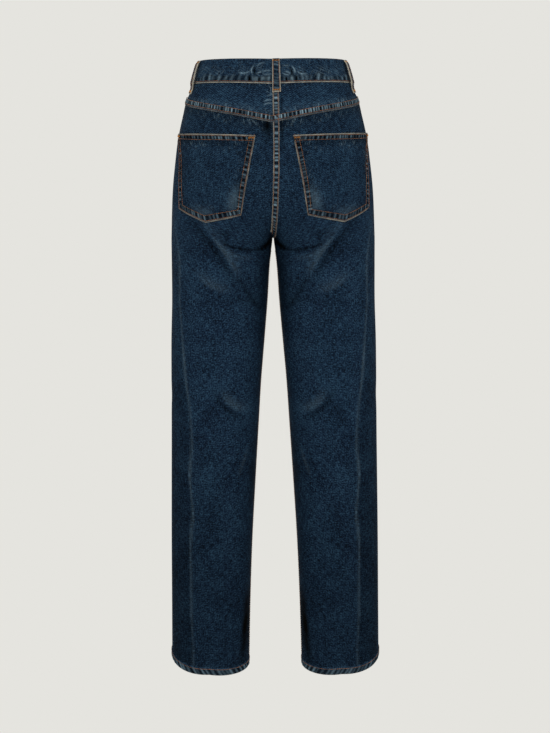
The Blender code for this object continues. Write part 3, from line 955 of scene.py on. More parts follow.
@dataclass(frozen=True)
class MottledFinish:
    """A finish whose colour varies between two tones over its own surface, with a fine relief."""

    name: str
    dark: str
    bright: str
    mottle_mm: float
    relief_mm: float
    roughness: float = 0.55
    metallic: float = 0.0

    def material(self) -> Any:
        """Build the material.

        Returns:
            The material.
        """
        made, graph = shader_graph(self.name)
        graph.add("place", "ShaderNodeTexCoord")
        for name, size, detail in (("mottle", self.mottle_mm, 3.0), ("fine", self.relief_mm, 1.0)):
            inputs = {"Vector": "place:Object", "Scale": 1 / (size * MM), "Detail": detail}
            graph.add(name, "ShaderNodeTexNoise", None, inputs)
        ramp = graph.add("tones", "ShaderNodeValToRGB", None, {0: "mottle"}).color_ramp
        ramp.elements[0].position, ramp.elements[0].color = 0.34, linear(self.dark)
        ramp.elements[1].position, ramp.elements[1].color = 0.62, linear(self.bright)
        graph.add("bump", "ShaderNodeBump", None, {"Height": "fine", "Strength": 0.5, "Distance": 0.0002})
        inputs = {"Base Color": "tones", "Roughness": self.roughness, "Normal": "bump"}
        graph.add("shader", "ShaderNodeBsdfPrincipled", None, {**inputs, "Metallic": self.metallic})
        graph.add("output", "ShaderNodeOutputMaterial", None, {0: "shader"})
        return made


@dataclass
class Finishes:
    """All materials of the jeans."""

    denim: Any = field(init=False)
    reverse: Any = field(init=False)
    thread: Any = field(init=False)
    bartack: Any = field(init=False)
    brass: Any = field(init=False)
    tape: Any = field(init=False)

    def __post_init__(self) -> None:
        """Make them."""
        self.denim = DenimFinish().material()
        # The weft side of the same cloth: undyed yarn on top, so a dull pale blue.
        self.reverse = DenimFinish(
            name="denim reverse", deep="#3c4a58", body="#65727e", light="#8e979d", pale="#a9afb2"
        ).material()
        # Spun polyester topstitch thread, dyed rust: matt, its tone mottled at random between brown and rust.
        self.thread = MottledFinish("rust topstitch thread", "#40281a", "#8a5732", 6.0, 0.9).material()
        # The same thread laid closely, with a painted highlight: brighter, because it stands proud and
        # catches light.
        self.bartack = MottledFinish("orange bartack thread", "#9a5f1e", "#d08a33", 5.0, 0.9).material()
        # Stamped brass, antiqued: dark in the hollows and rubbed bright on the rims.
        self.brass = MottledFinish(
            "antiqued brass", "#4a3a22", "#b08a52", 2.5, 0.8, roughness=0.38, metallic=1.0
        ).material()
        # Woven cotton zip tape, navy: matt, with a fine rib.
        self.tape = MottledFinish(
            "navy cotton tape", "#10151f", "#232c3b", 3.0, 1.2, roughness=0.9
        ).material()


class Laying(Enum):
    """How a thread lies along its path."""

    SEWN = "a stitch at each pitch"
    LAID = "one continuous thread"


@dataclass
class Thread:
    """Geometry Nodes that sew: a stitch on each pitch of a path, or one thread laid along it."""

    finish: Any
    pitch: float = 0.0032
    stitch: float = 0.0029
    radius: float = 0.00044

    def tree(self, laying: Laying) -> Any:
        """Build the tree that puts thread along the curves.

        Args:
            laying: Sewn or laid.

        Returns:
            The node group, with named inputs.
        """
        tree = bpy.data.node_groups.new("thread", "GeometryNodeTree")
        sockets = tree.interface
        sockets.new_socket("Geometry", in_out="INPUT", socket_type="NodeSocketGeometry")
        for name in ("Pitch", "Half stitch", "Thread radius"):
            sockets.new_socket(name, in_out="INPUT", socket_type="NodeSocketFloat")
        sockets.new_socket("Thread", in_out="INPUT", socket_type="NodeSocketMaterial")
        sockets.new_socket("Geometry", in_out="OUTPUT", socket_type="NodeSocketGeometry")
        graph = NodeGraph(tree)
        graph.add("given", "NodeGroupInput")
        if laying is Laying.SEWN:
            spots = {0: "given:0", 2: "given:Pitch"}
            graph.add("spots", "GeometryNodeCurveToPoints", {"mode": "LENGTH"}, spots)
            graph.add("lie", "FunctionNodeAlignRotationToVector", {"axis": "Z"}, {2: "spots:Tangent"})
            graph.add("bead", "GeometryNodeMeshUVSphere", None, {0: 6, 1: 5, 2: 1.0})
            size = {0: "given:Thread radius", 1: "given:Thread radius", 2: "given:Half stitch"}
            graph.add("size", "ShaderNodeCombineXYZ", None, size)
            placed = {"Points": "spots", "Instance": "bead", "Rotation": "lie", "Scale": "size"}
            graph.add("sewn", "GeometryNodeInstanceOnPoints", None, placed)
        else:
            graph.add("round", "GeometryNodeCurvePrimitiveCircle", None, {0: 5, 4: "given:Thread radius"})
            graph.add("sewn", "GeometryNodeCurveToMesh", None, {0: "given:0", 1: "round", "Fill Caps": True})
        graph.add("real", "GeometryNodeRealizeInstances", None, {0: "sewn"})
        graph.add("smooth", "GeometryNodeSetShadeSmooth", None, {0: "real"})
        graph.add("painted", "GeometryNodeSetMaterial", None, {0: "smooth", "Material": "given:Thread"})
        graph.add("output", "NodeGroupOutput", None, {0: "painted"})
        return tree

    def sew(self, name: str, paths: Iterable[Array], laying: Laying = Laying.SEWN) -> Any:
        """Sew along these paths.

        Args:
            name: The piece's name.
            paths: Lines of points.
            laying: Sewn or laid.

        Returns:
            One plain mesh object of all the thread.
        """
        curve = bpy.data.curves.new(name + "_path", "CURVE")
        curve.dimensions = "3D"
        for path in paths:
            spline = curve.splines.new("POLY")
            spline.points.add(len(path) - 1)
            spline.points.foreach_set("co", np.c_[path, np.ones(len(path))].reshape(-1))
        guide = bpy.data.objects.new(name + "_path", curve)
        bpy.context.scene.collection.objects.link(guide)
        tree = self.tree(laying)
        modifier = guide.modifiers.new("sew", "NODES")
        modifier.node_group = tree
        wanted = {
            "Pitch": self.pitch, "Half stitch": 0.5 * self.stitch,
            "Thread radius": self.radius, "Thread": self.finish,
        }
        for item in tree.interface.items_tree:
            if item.in_out == "INPUT" and item.name in wanted:
                modifier[item.identifier] = wanted[item.name]
        evaluated = bpy.context.evaluated_depsgraph_get()
        mesh = bpy.data.meshes.new_from_object(guide.evaluated_get(evaluated), depsgraph=evaluated)
        mesh.name = name
        bpy.data.objects.remove(guide)
        bpy.data.curves.remove(curve)
        bpy.data.node_groups.remove(tree)
        made = bpy.data.objects.new(name, mesh)
        bpy.context.scene.collection.objects.link(made)
        return dress(made)


@dataclass
class SeamBand:
    """A felled seam or turned hem: a doubled band with stitch rows and the puckers that they draw up."""

    form: JeansForm
    finishes: Finishes
    width: float = 0.0090
    rise: float = 0.0007
    wall: float = 0.0005
    rows_at: tuple[float, ...] = (-0.0027, 0.0027)
    pitch: float = 0.0064
    tilt: float = 0.15
    pucker_rise: float = 0.0006
    near_edge: float = 1.0
    far_edge: float = 0.45
    base_lift: float = 0.0
    contrast: float = 1.0
    grid: float = 0.0009
    groove_half: float = 0.0008
    groove_depth: float = 0.00025
    thread_proud: float = 0.00012

    def make(self, name: str, around: Array, row: Array, side: Side, seed: int) -> tuple[Any, list[Array]]:
        """Make the band along a path, its near edge on the path's right.

        Args:
            name: The piece's name.
            around: Shares round of the path.
            row: Row numbers of the path.
            side: Which side of the garment.
            seed: Seed of its puckers.

        Returns:
            The piece, and the paths of its stitch rows.
        """
        count = int(self.width / self.grid) + 1
        across = np.linspace(-0.5 * self.width, 0.5 * self.width, count)
        wide_around, wide_row = self.form.beside(around, row, across)
        along = arc_length(self.form.base(around, row))[:, None]
        ladder = puckers(along + self.tilt * across, self.pitch, seed)
        between = 1 - step_up(np.abs(across), 0.75 * max(self.rows_at), 1.15 * max(self.rows_at))
        rounded = np.sqrt(np.clip(1 - (np.abs(across) / (0.5 * self.width)) ** 6, 0, 1))
        groove = sum(bell(across - at, self.groove_half) for at in self.rows_at)
        height = self.base_lift + self.rise * rounded + self.pucker_rise * (ladder - 0.4) * between
        height = height - self.groove_depth * groove
        points = self.form.surface(wide_around, wide_row, height)
        worn = line_noise(along, 0.006, seed + 1)
        near = bell(across + 0.5 * self.width, 0.0011) * self.near_edge
        far = bell(across - 0.5 * self.width, 0.0010) * self.far_edge
        # Painted shade in the hollows between the puckers and along the stitch grooves.
        look = ClothLook(
            wear=1.15 * self.contrast * ladder * between,
            edge=(near + far) * (0.45 + 0.55 * worn),
            shade=0.85 * self.contrast * (1 - ladder) * between + 0.35 * groove,
        )
        cloth = self.form.flat(wide_around, wide_row)
        finishes = (self.finishes.denim,)
        piece = grid_piece(name, points, cloth, look, finishes, side, self.wall)
        rows = []
        for at in self.rows_at:
            sewn = self.form.beside(around, row, np.array([at]))
            lift = self.base_lift + self.rise + self.thread_proud
            rows.append(self.form.surface(sewn[0][:, 0], sewn[1][:, 0], lift) * side.mirror)
        return dress(piece), rows


@dataclass(frozen=True)
class RowSpan:
    """A stretch of rows: where it begins and ends, its length, and the distance between its points."""

    low: float
    high: float
    length: float
    pitch: float


@dataclass
class Legs:
    """The front and back panels of both legs, with what the seams beside them do to their cloth."""

    form: JeansForm
    finishes: Finishes
    wall: float = 0.0013
    column_pitch: float = 0.0036
    spans: tuple[RowSpan, ...] = (
        RowSpan(1, 2, 0.023, 0.004),
        RowSpan(2, 2.15, 0.037, 0.0018),
        RowSpan(2.15, 2.78, 0.165, 0.0040),
        RowSpan(2.78, 3, 0.055, 0.0024),
        RowSpan(3, 3.08, 0.06, 0.0024),
        RowSpan(3.08, 4, 0.69, 0.0056),
    )
    seam_wobble: float = 0.012
    mouth_start: float = 0.27
    mouth_drop: float = 0.125

    def rows(self, first: float) -> Array:
        """Row numbers from a seam to the hem, closer under the yoke.

        Args:
            first: The first row.

        Returns:
            Row numbers.
        """
        parts = []
        for span in self.spans:
            if first < span.high:
                count = int(span.length / span.pitch) + 2
                parts.append(np.linspace(max(span.low, first), span.high, count)[:-1])
        return np.append(np.concatenate(parts), 4.0)

    def mouth_edge(self, rows: Array) -> Array:
        """How far round the front panel reaches at each row.

        Args:
            rows: Row numbers.

        Returns:
            Shares round.
        """
        side = np.interp(rows, (1, 2, 3), (BAND_SEAM.side, YOKE_SEAM.side, CROTCH.side))
        along = np.clip((side - BAND_SEAM.side) / (self.mouth_drop - BAND_SEAM.side), 0, 1)
        return 0.5 - (0.5 - self.mouth_start) * np.sqrt(1 - along**2)

    def look(self, around: Array, row: Array, flat: Array) -> ClothLook:
        """Shade and wear that the photo shows on the legs.

        Args:
            around: Shares round.
            row: Row numbers.
            flat: Flat cloth coordinates.

        Returns:
            The look at each point.
        """
        drop = flat[..., 1]
        folds = self.form.fold_height(around, drop)
        seam = around - 0.5 - 0.04 * (1 - step_up(drop, 0.27, 0.42)) * (row > 2)
        seam = (seam + self.seam_wobble * (line_noise(drop, 0.06, 6) - 0.5)) * ROUND_LENGTH
        # Darker towards the hem, and painted shade in the fold troughs.
        shade = 0.34 * step_up(drop, 0.42, 0.95) + 0.12 * np.clip(-folds / 0.003, 0, 1)
        # Painted shade under the yoke seam.
        shade = shade + 0.42 * bell(row - 2.04, 0.06) * (around > 0.5)
        # Painted shade on the strip beyond the outseam, where the leg turns away from the light.
        shade = shade + 0.22 * step_up(-seam, 0.001, 0.004) * step_up(drop, 0.2, 0.6) * (around > 0.4)
        rubbed = bell(seam, 0.0024) * (0.5 + 0.5 * line_noise(drop, 0.05, 5)) * step_up(drop, 0.25, 0.34)
        # A painted highlight on the fold ridges, and wear rubbed pale along the outseam.
        wear = 0.04 * np.clip(folds / 0.0025, 0, 1) + 0.16 * rubbed
        fray = 0.36 * bell(row - 2.05, 0.03) * (around > 0.5)
        return ClothLook(wear=wear, shade=shade, fray=fray)

    def panel(self, name: str, around: Array, rows: Array, side: Side) -> Any:
        """Make one panel.

        Args:
            name: front_panel or back_panel.
            around: Shares round, a row of them for each row number.
            rows: Row numbers, as a column.
            side: Which leg.

        Returns:
            The piece.
        """
        base = self.form.base(around, rows)
        flat = self.form.flat(around, rows)
        look = self.look(around, np.broadcast_to(rows, around.shape), flat)
        rise, paint = creased(base, BACK_CREASES if name == "back_panel" else FRONT_CREASES)
        if name == "back_panel":
            more, tint = creased(base * side.mirror, CENTRE_CREASES)
            rise, paint = rise + more, paint + tint
        free = step_up(np.minimum(around, 1 - around), 0.0, 0.02)
        points = self.form.surface(around, rows, rise * free)
        look.paint(paint)
        finishes = (self.finishes.denim, self.finishes.reverse)
        piece = grid_piece(f"denim_{name}_{side.word}", points, flat, look, finishes, side, self.wall)
        dress(piece, [f"{name}_{side.word}"])
        return piece

    def build(self) -> None:
        """Build the four panels."""
        share = np.linspace(0, 1, int(0.29 / self.column_pitch))
        # Closer beside the seat seam, where the photo shows fine wrinkles.
        back_share = np.append(np.linspace(0, 0.84, 56)[:-1], np.linspace(0.84, 1, 26))
        front_rows = self.rows(1.0)
        back_rows = self.rows(2.0)
        front = share * self.mouth_edge(front_rows)[:, None]
        back = 0.5 + 0.5 * back_share * np.ones((len(back_rows), 1))
        for side in Side:
            self.panel("front_panel", front, front_rows[:, None], side)
            self.panel("back_panel", back, back_rows[:, None], side)


@dataclass
class Yokes:
    """The two back yokes and the felled seams below them."""

    form: JeansForm
    finishes: Finishes
    wall: float = 0.0013
    grid: float = 0.0012
    crossing: float = 0.029

    def build(self) -> list[Array]:
        """Build the yokes and their seams.

        Returns:
            The paths of the stitch rows.
        """
        rows = np.linspace(1, 2, int(0.056 / self.grid))[:, None]
        around = np.linspace(0.5, 1, int(0.22 / self.grid))[None, :] * np.ones_like(rows)
        rows = rows * np.ones_like(around)
        flat = self.form.flat(around, rows)
        stitches = []
        for side, seed in ((Side.LEFT, 21), (Side.RIGHT, 22)):
            drawn = puckers(flat[..., 0] + 0.4 * flat[..., 1], 0.0075, seed)
            low = bell(rows - 1.93, 0.14)
            high = bell(rows - 1.0, 0.10)
            base = self.form.base(around, rows)
            rise, paint = creased(base * side.mirror, CENTRE_CREASES)
            points = self.form.surface(around, rows, rise + 0.0005 * (drawn - 0.4) * (low + high))
            # Painted shade in the hollows of the puckers by the waistband seam.
            look = ClothLook(
                wear=0.12 * drawn * low, shade=0.30 * (1 - drawn) * high, fray=0.20 * low + 0.12 * high
            )
            look.paint(paint)
            finishes = (self.finishes.denim, self.finishes.reverse)
            piece = grid_piece(f"denim_back_yoke_{side.word}", points, flat, look, finishes, side, self.wall)
            dress(piece, [f"back_yoke_{side.word}"])
            over = self.crossing if side is Side.LEFT else -0.023
            path = self.form.path([(1 + over, 2.0), (0.503, 2.0)])
            lift = 0.0008 if side is Side.LEFT else 0.0005
            band = SeamBand(
                self.form, self.finishes, base_lift=lift, width=0.0114, rows_at=(-0.0038, 0.0038),
                pitch=0.0054, near_edge=0.95, far_edge=0.30, contrast=0.9,
            )
            seam, rows_sewn = band.make(f"yoke_seam_{side.word}", *path, side, seed)
            stitches += rows_sewn
        return stitches


@dataclass
class CentreSeams:
    """The seat seam at the back, and the crotch and inseams."""

    form: JeansForm
    finishes: Finishes

    def build(self) -> list[Array]:
        """Build the seams.

        Returns:
            The paths of the stitch rows.
        """
        band = SeamBand(
            self.form, self.finishes, width=0.0105, rise=0.0009, rows_at=(-0.0035, 0.0035),
            pitch=0.0078, tilt=0.0, pucker_rise=0.0009, near_edge=0.9, far_edge=0.6, base_lift=0.0004,
            contrast=0.70,
        )
        stops = [(1.0175, 0.044), (1.0165, 0.100), (1.0145, 0.190), (1.0105, 0.296)]
        path = self.form.path(stops, by_drop=True)
        stitches = band.make("seat_seam", *path, Side.LEFT, 31)[1]
        front = SeamBand(
            self.form, self.finishes, width=0.0090, rows_at=(-0.0028, 0.0028), pitch=0.0070, tilt=0.0
        )
        path = self.form.path([(0.0, 2.93), (0.0, 2.47)])
        stitches += front.make("front_crotch_seam", *path, Side.LEFT, 32)[1]
        for side in Side:
            path = self.form.path([(0.008, 3.03), (0.010, 3.2), (0.010, 3.995)])
            stitches.append(self.form.surface(*path, 0.0004) * side.mirror)
        return stitches


@dataclass
class Hems:
    """The turned and sewn leg ends, roped by the wash."""

    form: JeansForm
    finishes: Finishes
    stitch_height: float = 0.0098
    pitch: float = 0.0085
    leg_row: float = 0.7465
    columns: int = 400
    # Height over the leg's edge, lift from its cloth: outside, under the edge and inside.
    profile: tuple[tuple[float, float], ...] = (
        (0.0130, 0.0002), (0.0118, 0.0006), (0.0106, 0.0007), (0.0095, 0.0005), (0.0085, 0.0008),
        (0.0072, 0.0010), (0.0059, 0.0011), (0.0046, 0.0011), (0.0033, 0.0011), (0.0021, 0.0010),
        (0.0010, 0.0008), (0.0003, 0.0003), (0.0001, -0.0008), (0.0003, -0.0019), (0.0012, -0.0026),
        (0.0040, -0.0029), (0.0080, -0.0029), (0.0118, -0.0027), (0.0130, -0.0018),
    )

    def build(self) -> list[Array]:
        """Build both hems.

        Returns:
            The paths of the stitch rows.
        """
        turn = np.linspace(0, 1, self.columns, endpoint=False)
        heights = np.array([height for height, _ in self.profile])[:, None]
        lifts = np.array([lift for _, lift in self.profile])[:, None]
        rows = np.maximum(4 - heights / self.leg_row, 0) * np.ones_like(turn)
        around = turn * np.ones_like(rows)
        stitches = []
        for side, seed in ((Side.LEFT, 41), (Side.RIGHT, 42)):
            flat = self.form.flat(around, rows)
            rope = puckers(flat[..., 0] + 0.7 * heights, self.pitch, seed, 0.34)
            outside = (lifts > 0) * step_up(0.0120 - heights, 0.0, 0.003)
            lift = lifts + 0.0007 * (rope - 0.45) * outside
            points = self.form.surface(around, rows, lift)
            fold = bell(heights, 0.0012) * (lifts > -0.001)
            # Painted shade between the rope's ridges and on the inside of the turned edge.
            look = ClothLook(
                wear=0.42 * rope * outside, edge=0.5 * fold * rope,
                shade=0.75 * (1 - rope) * outside * (heights < 0.0095) + 0.3 * (lifts < -0.001),
            )
            piece = grid_piece(
                f"hem_{side.word}", points, flat, look, (self.finishes.denim,), side, joined=True
            )
            dress(piece)
            sewn_row = 4 - self.stitch_height / self.leg_row
            path = self.form.path([(0.0, sewn_row), (1.0, sewn_row)])
            stitches.append(self.form.surface(*path, 0.0011) * side.mirror)
        return stitches


@dataclass(frozen=True)
class PocketLevel:
    """How far round a pocket's outer and inner edges are at a share of the way down."""

    down: float
    outer: float
    inner: float


@dataclass
class BackPockets:
    """The five sided patch pockets, their turned edges, rows of stitches and bartacks."""

    form: JeansForm
    finishes: Finishes
    levels: tuple[PocketLevel, ...] = (
        PocketLevel(0.00, 0.562, 0.925), PocketLevel(0.25, 0.600, 0.912), PocketLevel(0.50, 0.615, 0.897),
        PocketLevel(0.75, 0.613, 0.873), PocketLevel(1.00, 0.595, 0.825),
    )
    # The top and low edges' drops at these shares of the way in from the outer side.
    stops: tuple[float, ...] = (0.0, 0.357, 1.0)
    top_drops: tuple[float, ...] = (0.1221, 0.1247, 0.1295)
    low_drops: tuple[float, ...] = (0.2485, 0.2728, 0.2607)
    aside: float = 0.0070
    lift: float = 0.0022
    wall: float = 0.0011
    columns: int = 110
    rows: int = 104
    hem_rows: tuple[float, float] = (0.0024, 0.0092)
    edge_rows: tuple[float, float] = (0.0026, 0.0105)
    low_slope: float = 0.86

    def place(self, across: Array, down: Array, side: Side) -> tuple[Array, Array]:
        """Turn shares of the pocket's width and height into places on the cloth.

        Args:
            across: 0 at the outer edge, 1 at the inner edge.
            down: 0 at the top edge, 1 at the low edge.
            side: Which side of the garment.

        Returns:
            Shares round and row numbers.
        """
        at = [level.down for level in self.levels]
        outer = np.polyval(np.polyfit(at, [level.outer for level in self.levels], 4), down)
        inner = np.polyval(np.polyfit(at, [level.inner for level in self.levels], 4), down)
        top = np.interp(across, self.stops, self.top_drops)
        low = np.interp(across, self.stops, self.low_drops)
        around = outer + (inner - outer) * across + side.value * self.aside
        return around, self.form.row_at(around, top + (low - top) * down)

    def lengths(self, across: Array, down: Array, side: Side) -> tuple[Array, Array]:
        """Measure a grid of places along its rows and columns.

        Args:
            across: Shares of the width.
            down: Shares of the height.
            side: Which side of the garment.

        Returns:
            Distance from the outer edge and from the top edge.
        """
        points = self.form.base(*self.place(across, down, side))
        runs = []
        for axis in (1, 0):
            steps = np.cumsum(np.linalg.norm(np.diff(points, axis=axis), axis=-1), axis=axis)
            runs.append(np.insert(steps, 0, 0.0, axis=axis))
        return runs[0], runs[1]

    def edge_path(self, inset: float, side: Side) -> Array:
        """Follow the side and low edges at an inset.

        Args:
            inset: Distance inside the edges.
            side: Which side of the garment.

        Returns:
            Points.
        """
        across, down = np.meshgrid(np.linspace(0, 1, 60), np.linspace(0, 1, 60))
        wide, tall = self.lengths(across, down, side)
        near = inset / wide[:, -1]
        low = inset / self.low_slope / tall[-1, [5, 21, 54]]
        corners = np.array([
            (near[0], 0), (near[-1], 1 - low[0]), (self.stops[1], 1 - low[1]), (1 - near[-1], 1 - low[2]),
            (1 - near[0], 0),
        ])
        share = np.linspace(0, 4, 361)
        across, down = (np.interp(share, range(5), corners[:, k]) for k in (0, 1))
        return self.form.surface(*self.place(across, down, side), self.lift + 0.0007)

    def build(self) -> tuple[list[Array], list[Array]]:
        """Build both pockets.

        Returns:
            The paths of the stitch rows and of the bartacks.
        """
        across = np.unique(np.append(np.linspace(0, 1, self.columns), self.stops[1]))
        across, down = np.meshgrid(across, np.linspace(0, 1, self.rows))
        stitches, tacks = [], []
        for side, seed in ((Side.LEFT, 51), (Side.RIGHT, 52)):
            around, rows = self.place(across, down, side)
            wide, tall = self.lengths(across, down, side)
            edges = np.stack([wide, wide[:, -1:] - wide, (tall[-1:] - tall) * self.low_slope])
            rim, nearest = edges.min(axis=0), edges.argmin(axis=0)
            way = np.where(nearest == 2, wide + 0.3, tall + 0.6 * (nearest == 1))
            ladder = puckers(way + 0.3 * rim, 0.0068, seed, 0.24)
            hem_ladder = puckers(wide + 0.2 * tall, 0.0066, seed + 10, 0.24)
            in_rim = plateau(rim, 0.0026, 0.0040, 0.0090, 0.0115)
            in_hem = plateau(tall, 0.0022, 0.0036, 0.0080, 0.0100)
            in_rim = in_rim * step_up(tall, 0.008, 0.016)
            raised = np.maximum(1 - step_up(rim, 0.0095, 0.0120), 1 - step_up(tall, 0.0090, 0.0115))
            grooves = sum(bell(rim - at, 0.0009) for at in self.edge_rows)
            grooves = grooves + sum(bell(tall - at, 0.0009) for at in self.hem_rows)
            lift = self.lift + 0.0005 * raised + 0.0007 * (ladder - 0.45) * in_rim
            lift = lift + 0.0006 * (hem_ladder - 0.45) * in_hem - 0.00025 * grooves
            lift = lift - 0.0012 * (1 - step_up(rim, 0.0, 0.0012)) + 0.0010 * (1 - step_up(tall, 0.0, 0.02))
            points = self.form.surface(around, rows, lift)
            noise = line_noise(way, 0.007, seed + 1)
            patch = bell(np.hypot(edges[1] - 0.016, 0.6 * (edges[2] - 0.026)), 0.010)
            tip = bell(np.hypot(0.7 * (across - self.stops[1]) * 0.12, edges[2] - 0.012), 0.009)
            look = ClothLook(
                wear=0.50 * ladder * in_rim + 0.60 * hem_ladder * in_hem + 0.16 * patch + 0.10 * tip,
                edge=np.maximum(
                    bell(rim, 0.0013) * (0.30 + 0.60 * noise),
                    bell(tall, 0.0014) * (0.45 + 0.45 * line_noise(wide, 0.008, seed + 2)),
                ),
                # Painted shade in the hollows of the puckers, along the stitch grooves, under the top hem and
                # inside the rim, and a little over the whole pocket.
                shade=(
                    0.72 * (1 - ladder) * in_rim + 0.72 * (1 - hem_ladder) * in_hem
                    + 0.07 + 0.35 * grooves + 0.35 * bell(tall - 0.0145, 0.0045)
                    + 0.18 * bell(rim - 0.0150, 0.0035)
                ),
                fray=0.25 * bell(tall - 0.018, 0.008) + 0.12 * bell(rim - 0.016, 0.006),
            )
            flat = self.form.flat(around, rows)
            finishes = (self.finishes.denim, self.finishes.reverse)
            name = f"back_pocket_{side.word}"
            piece = grid_piece(f"denim_{name}", points, flat, look, finishes, side, self.wall)
            dress(piece, [name])
            stitches += [self.edge_path(inset, side) * side.mirror for inset in self.edge_rows]
            height = tall[-1].mean()
            for inset in self.hem_rows:
                sewn = self.place(np.linspace(0.015, 0.985, 120), np.full(120, inset / height), side)
                stitches.append(self.form.surface(*sewn, self.lift + 0.0015) * side.mirror)
            tack = zigzag(22, 0.0014) + 0.0046
            for start, end in ((0.010, 0.068), (0.990, 0.932)):
                sewn = self.place(np.linspace(start, end, 22), tack / height, side)
                tacks.append(self.form.surface(*sewn, self.lift + 0.0019) * side.mirror)
        return stitches, tacks


@dataclass
class Waistband:
    """The two layer band, one strip from its under end round the back to its buttoned end."""

    form: JeansForm
    finishes: Finishes
    proud: float = 0.0010
    wall: float = 0.0024
    underlap: float = 0.0833
    overlap: float = 0.0556
    ease: float = 0.0667
    half_round: float = 0.370
    columns: int = 560
    rows: int = 34

    def place(self, turn: Array, row: Array, lift: Array) -> Array:
        """Place cloth on the whole waist.

        Args:
            turn: 0 centre front, 1 centre back by the wearer's right, 2 centre front again.
            row: Row numbers.
            lift: Height over the cloth.

        Returns:
            Points.
        """
        points = self.form.surface(1 - np.abs((turn % 2) - 1), row, lift)
        points[..., 0] *= np.where((turn % 2) < 1, -1, 1)
        return points

    def build(self) -> list[Array]:
        """Build the band.

        Returns:
            The path of its stitch row.
        """
        turn = np.linspace(-self.underlap, 2 + self.overlap, self.columns)[::-1]
        rows = np.linspace(0, 1, self.rows)[:, None]
        turn = turn * np.ones_like(rows)
        rows = rows * np.ones_like(turn)
        depth = np.where(np.abs(turn % 2 - 1) < 0.5, 0.040, 0.038)
        up = (1 - rows) * depth
        along = turn * self.half_round
        sunk = 1 - step_up(turn, self.overlap, self.overlap + self.ease)
        bent = along + 0.12 * up + 0.0008 * np.sin(up / 0.0024 + along / 0.013)
        drawn = puckers(bent, 0.0100, 61, 0.27)
        tall = 0.009 + 0.006 * line_noise(along, 0.012, 63)
        low = step_up(up, 0.0026, 0.0045) * (1 - step_up(up / tall, 0.70, 1.20))
        fine = puckers(0.5 * along - 1.1 * up, 0.0052, 64, 0.16) * line_noise(along, 0.009, 65)
        fine = fine * plateau(up, 0.008, 0.014, 0.022, 0.032)
        lift = self.proud - (self.wall + 0.0008) * sunk + 0.0007 * (drawn - 0.4) * low + 0.0003 * fine
        lift = lift - 0.0010 * bell(rows * depth, 0.0012) - 0.0003 * bell(up - 0.0022, 0.0009)
        placed = self.place(turn, rows, lift)
        rise, paint = creased(placed, CENTRE_CREASES)
        rise, paint = rise * (placed[..., 1] > 0), paint * (placed[..., 1] > 0)
        points = self.place(turn, rows, lift + rise)
        noise = line_noise(along, 0.006, 62)
        flat = np.stack([along, rows * depth], axis=-1)
        look = ClothLook(
            wear=0.36 * drawn * low + 0.26 * fine,
            edge=bell(up, 0.0010) * (0.5 + 0.4 * noise) + 0.12 * bell(rows, 0.03) * noise,
            # Painted shade in the hollows of the puckers and along the stitch groove.
            shade=0.62 * (1 - drawn) * low + 0.35 * bell(up - 0.0024, 0.0010),
            fray=0.10,
        )
        look.paint(paint)
        piece = grid_piece("denim_waistband", points, flat, look, (self.finishes.denim,), wall=self.wall)
        dress(piece, ["waistband"])
        sewn = np.linspace(0.02, 2 + self.overlap - 0.004, 500)
        return [self.place(sewn, np.full(500, 1 - 0.0024 / 0.039), np.full(500, self.proud + 0.0003))]


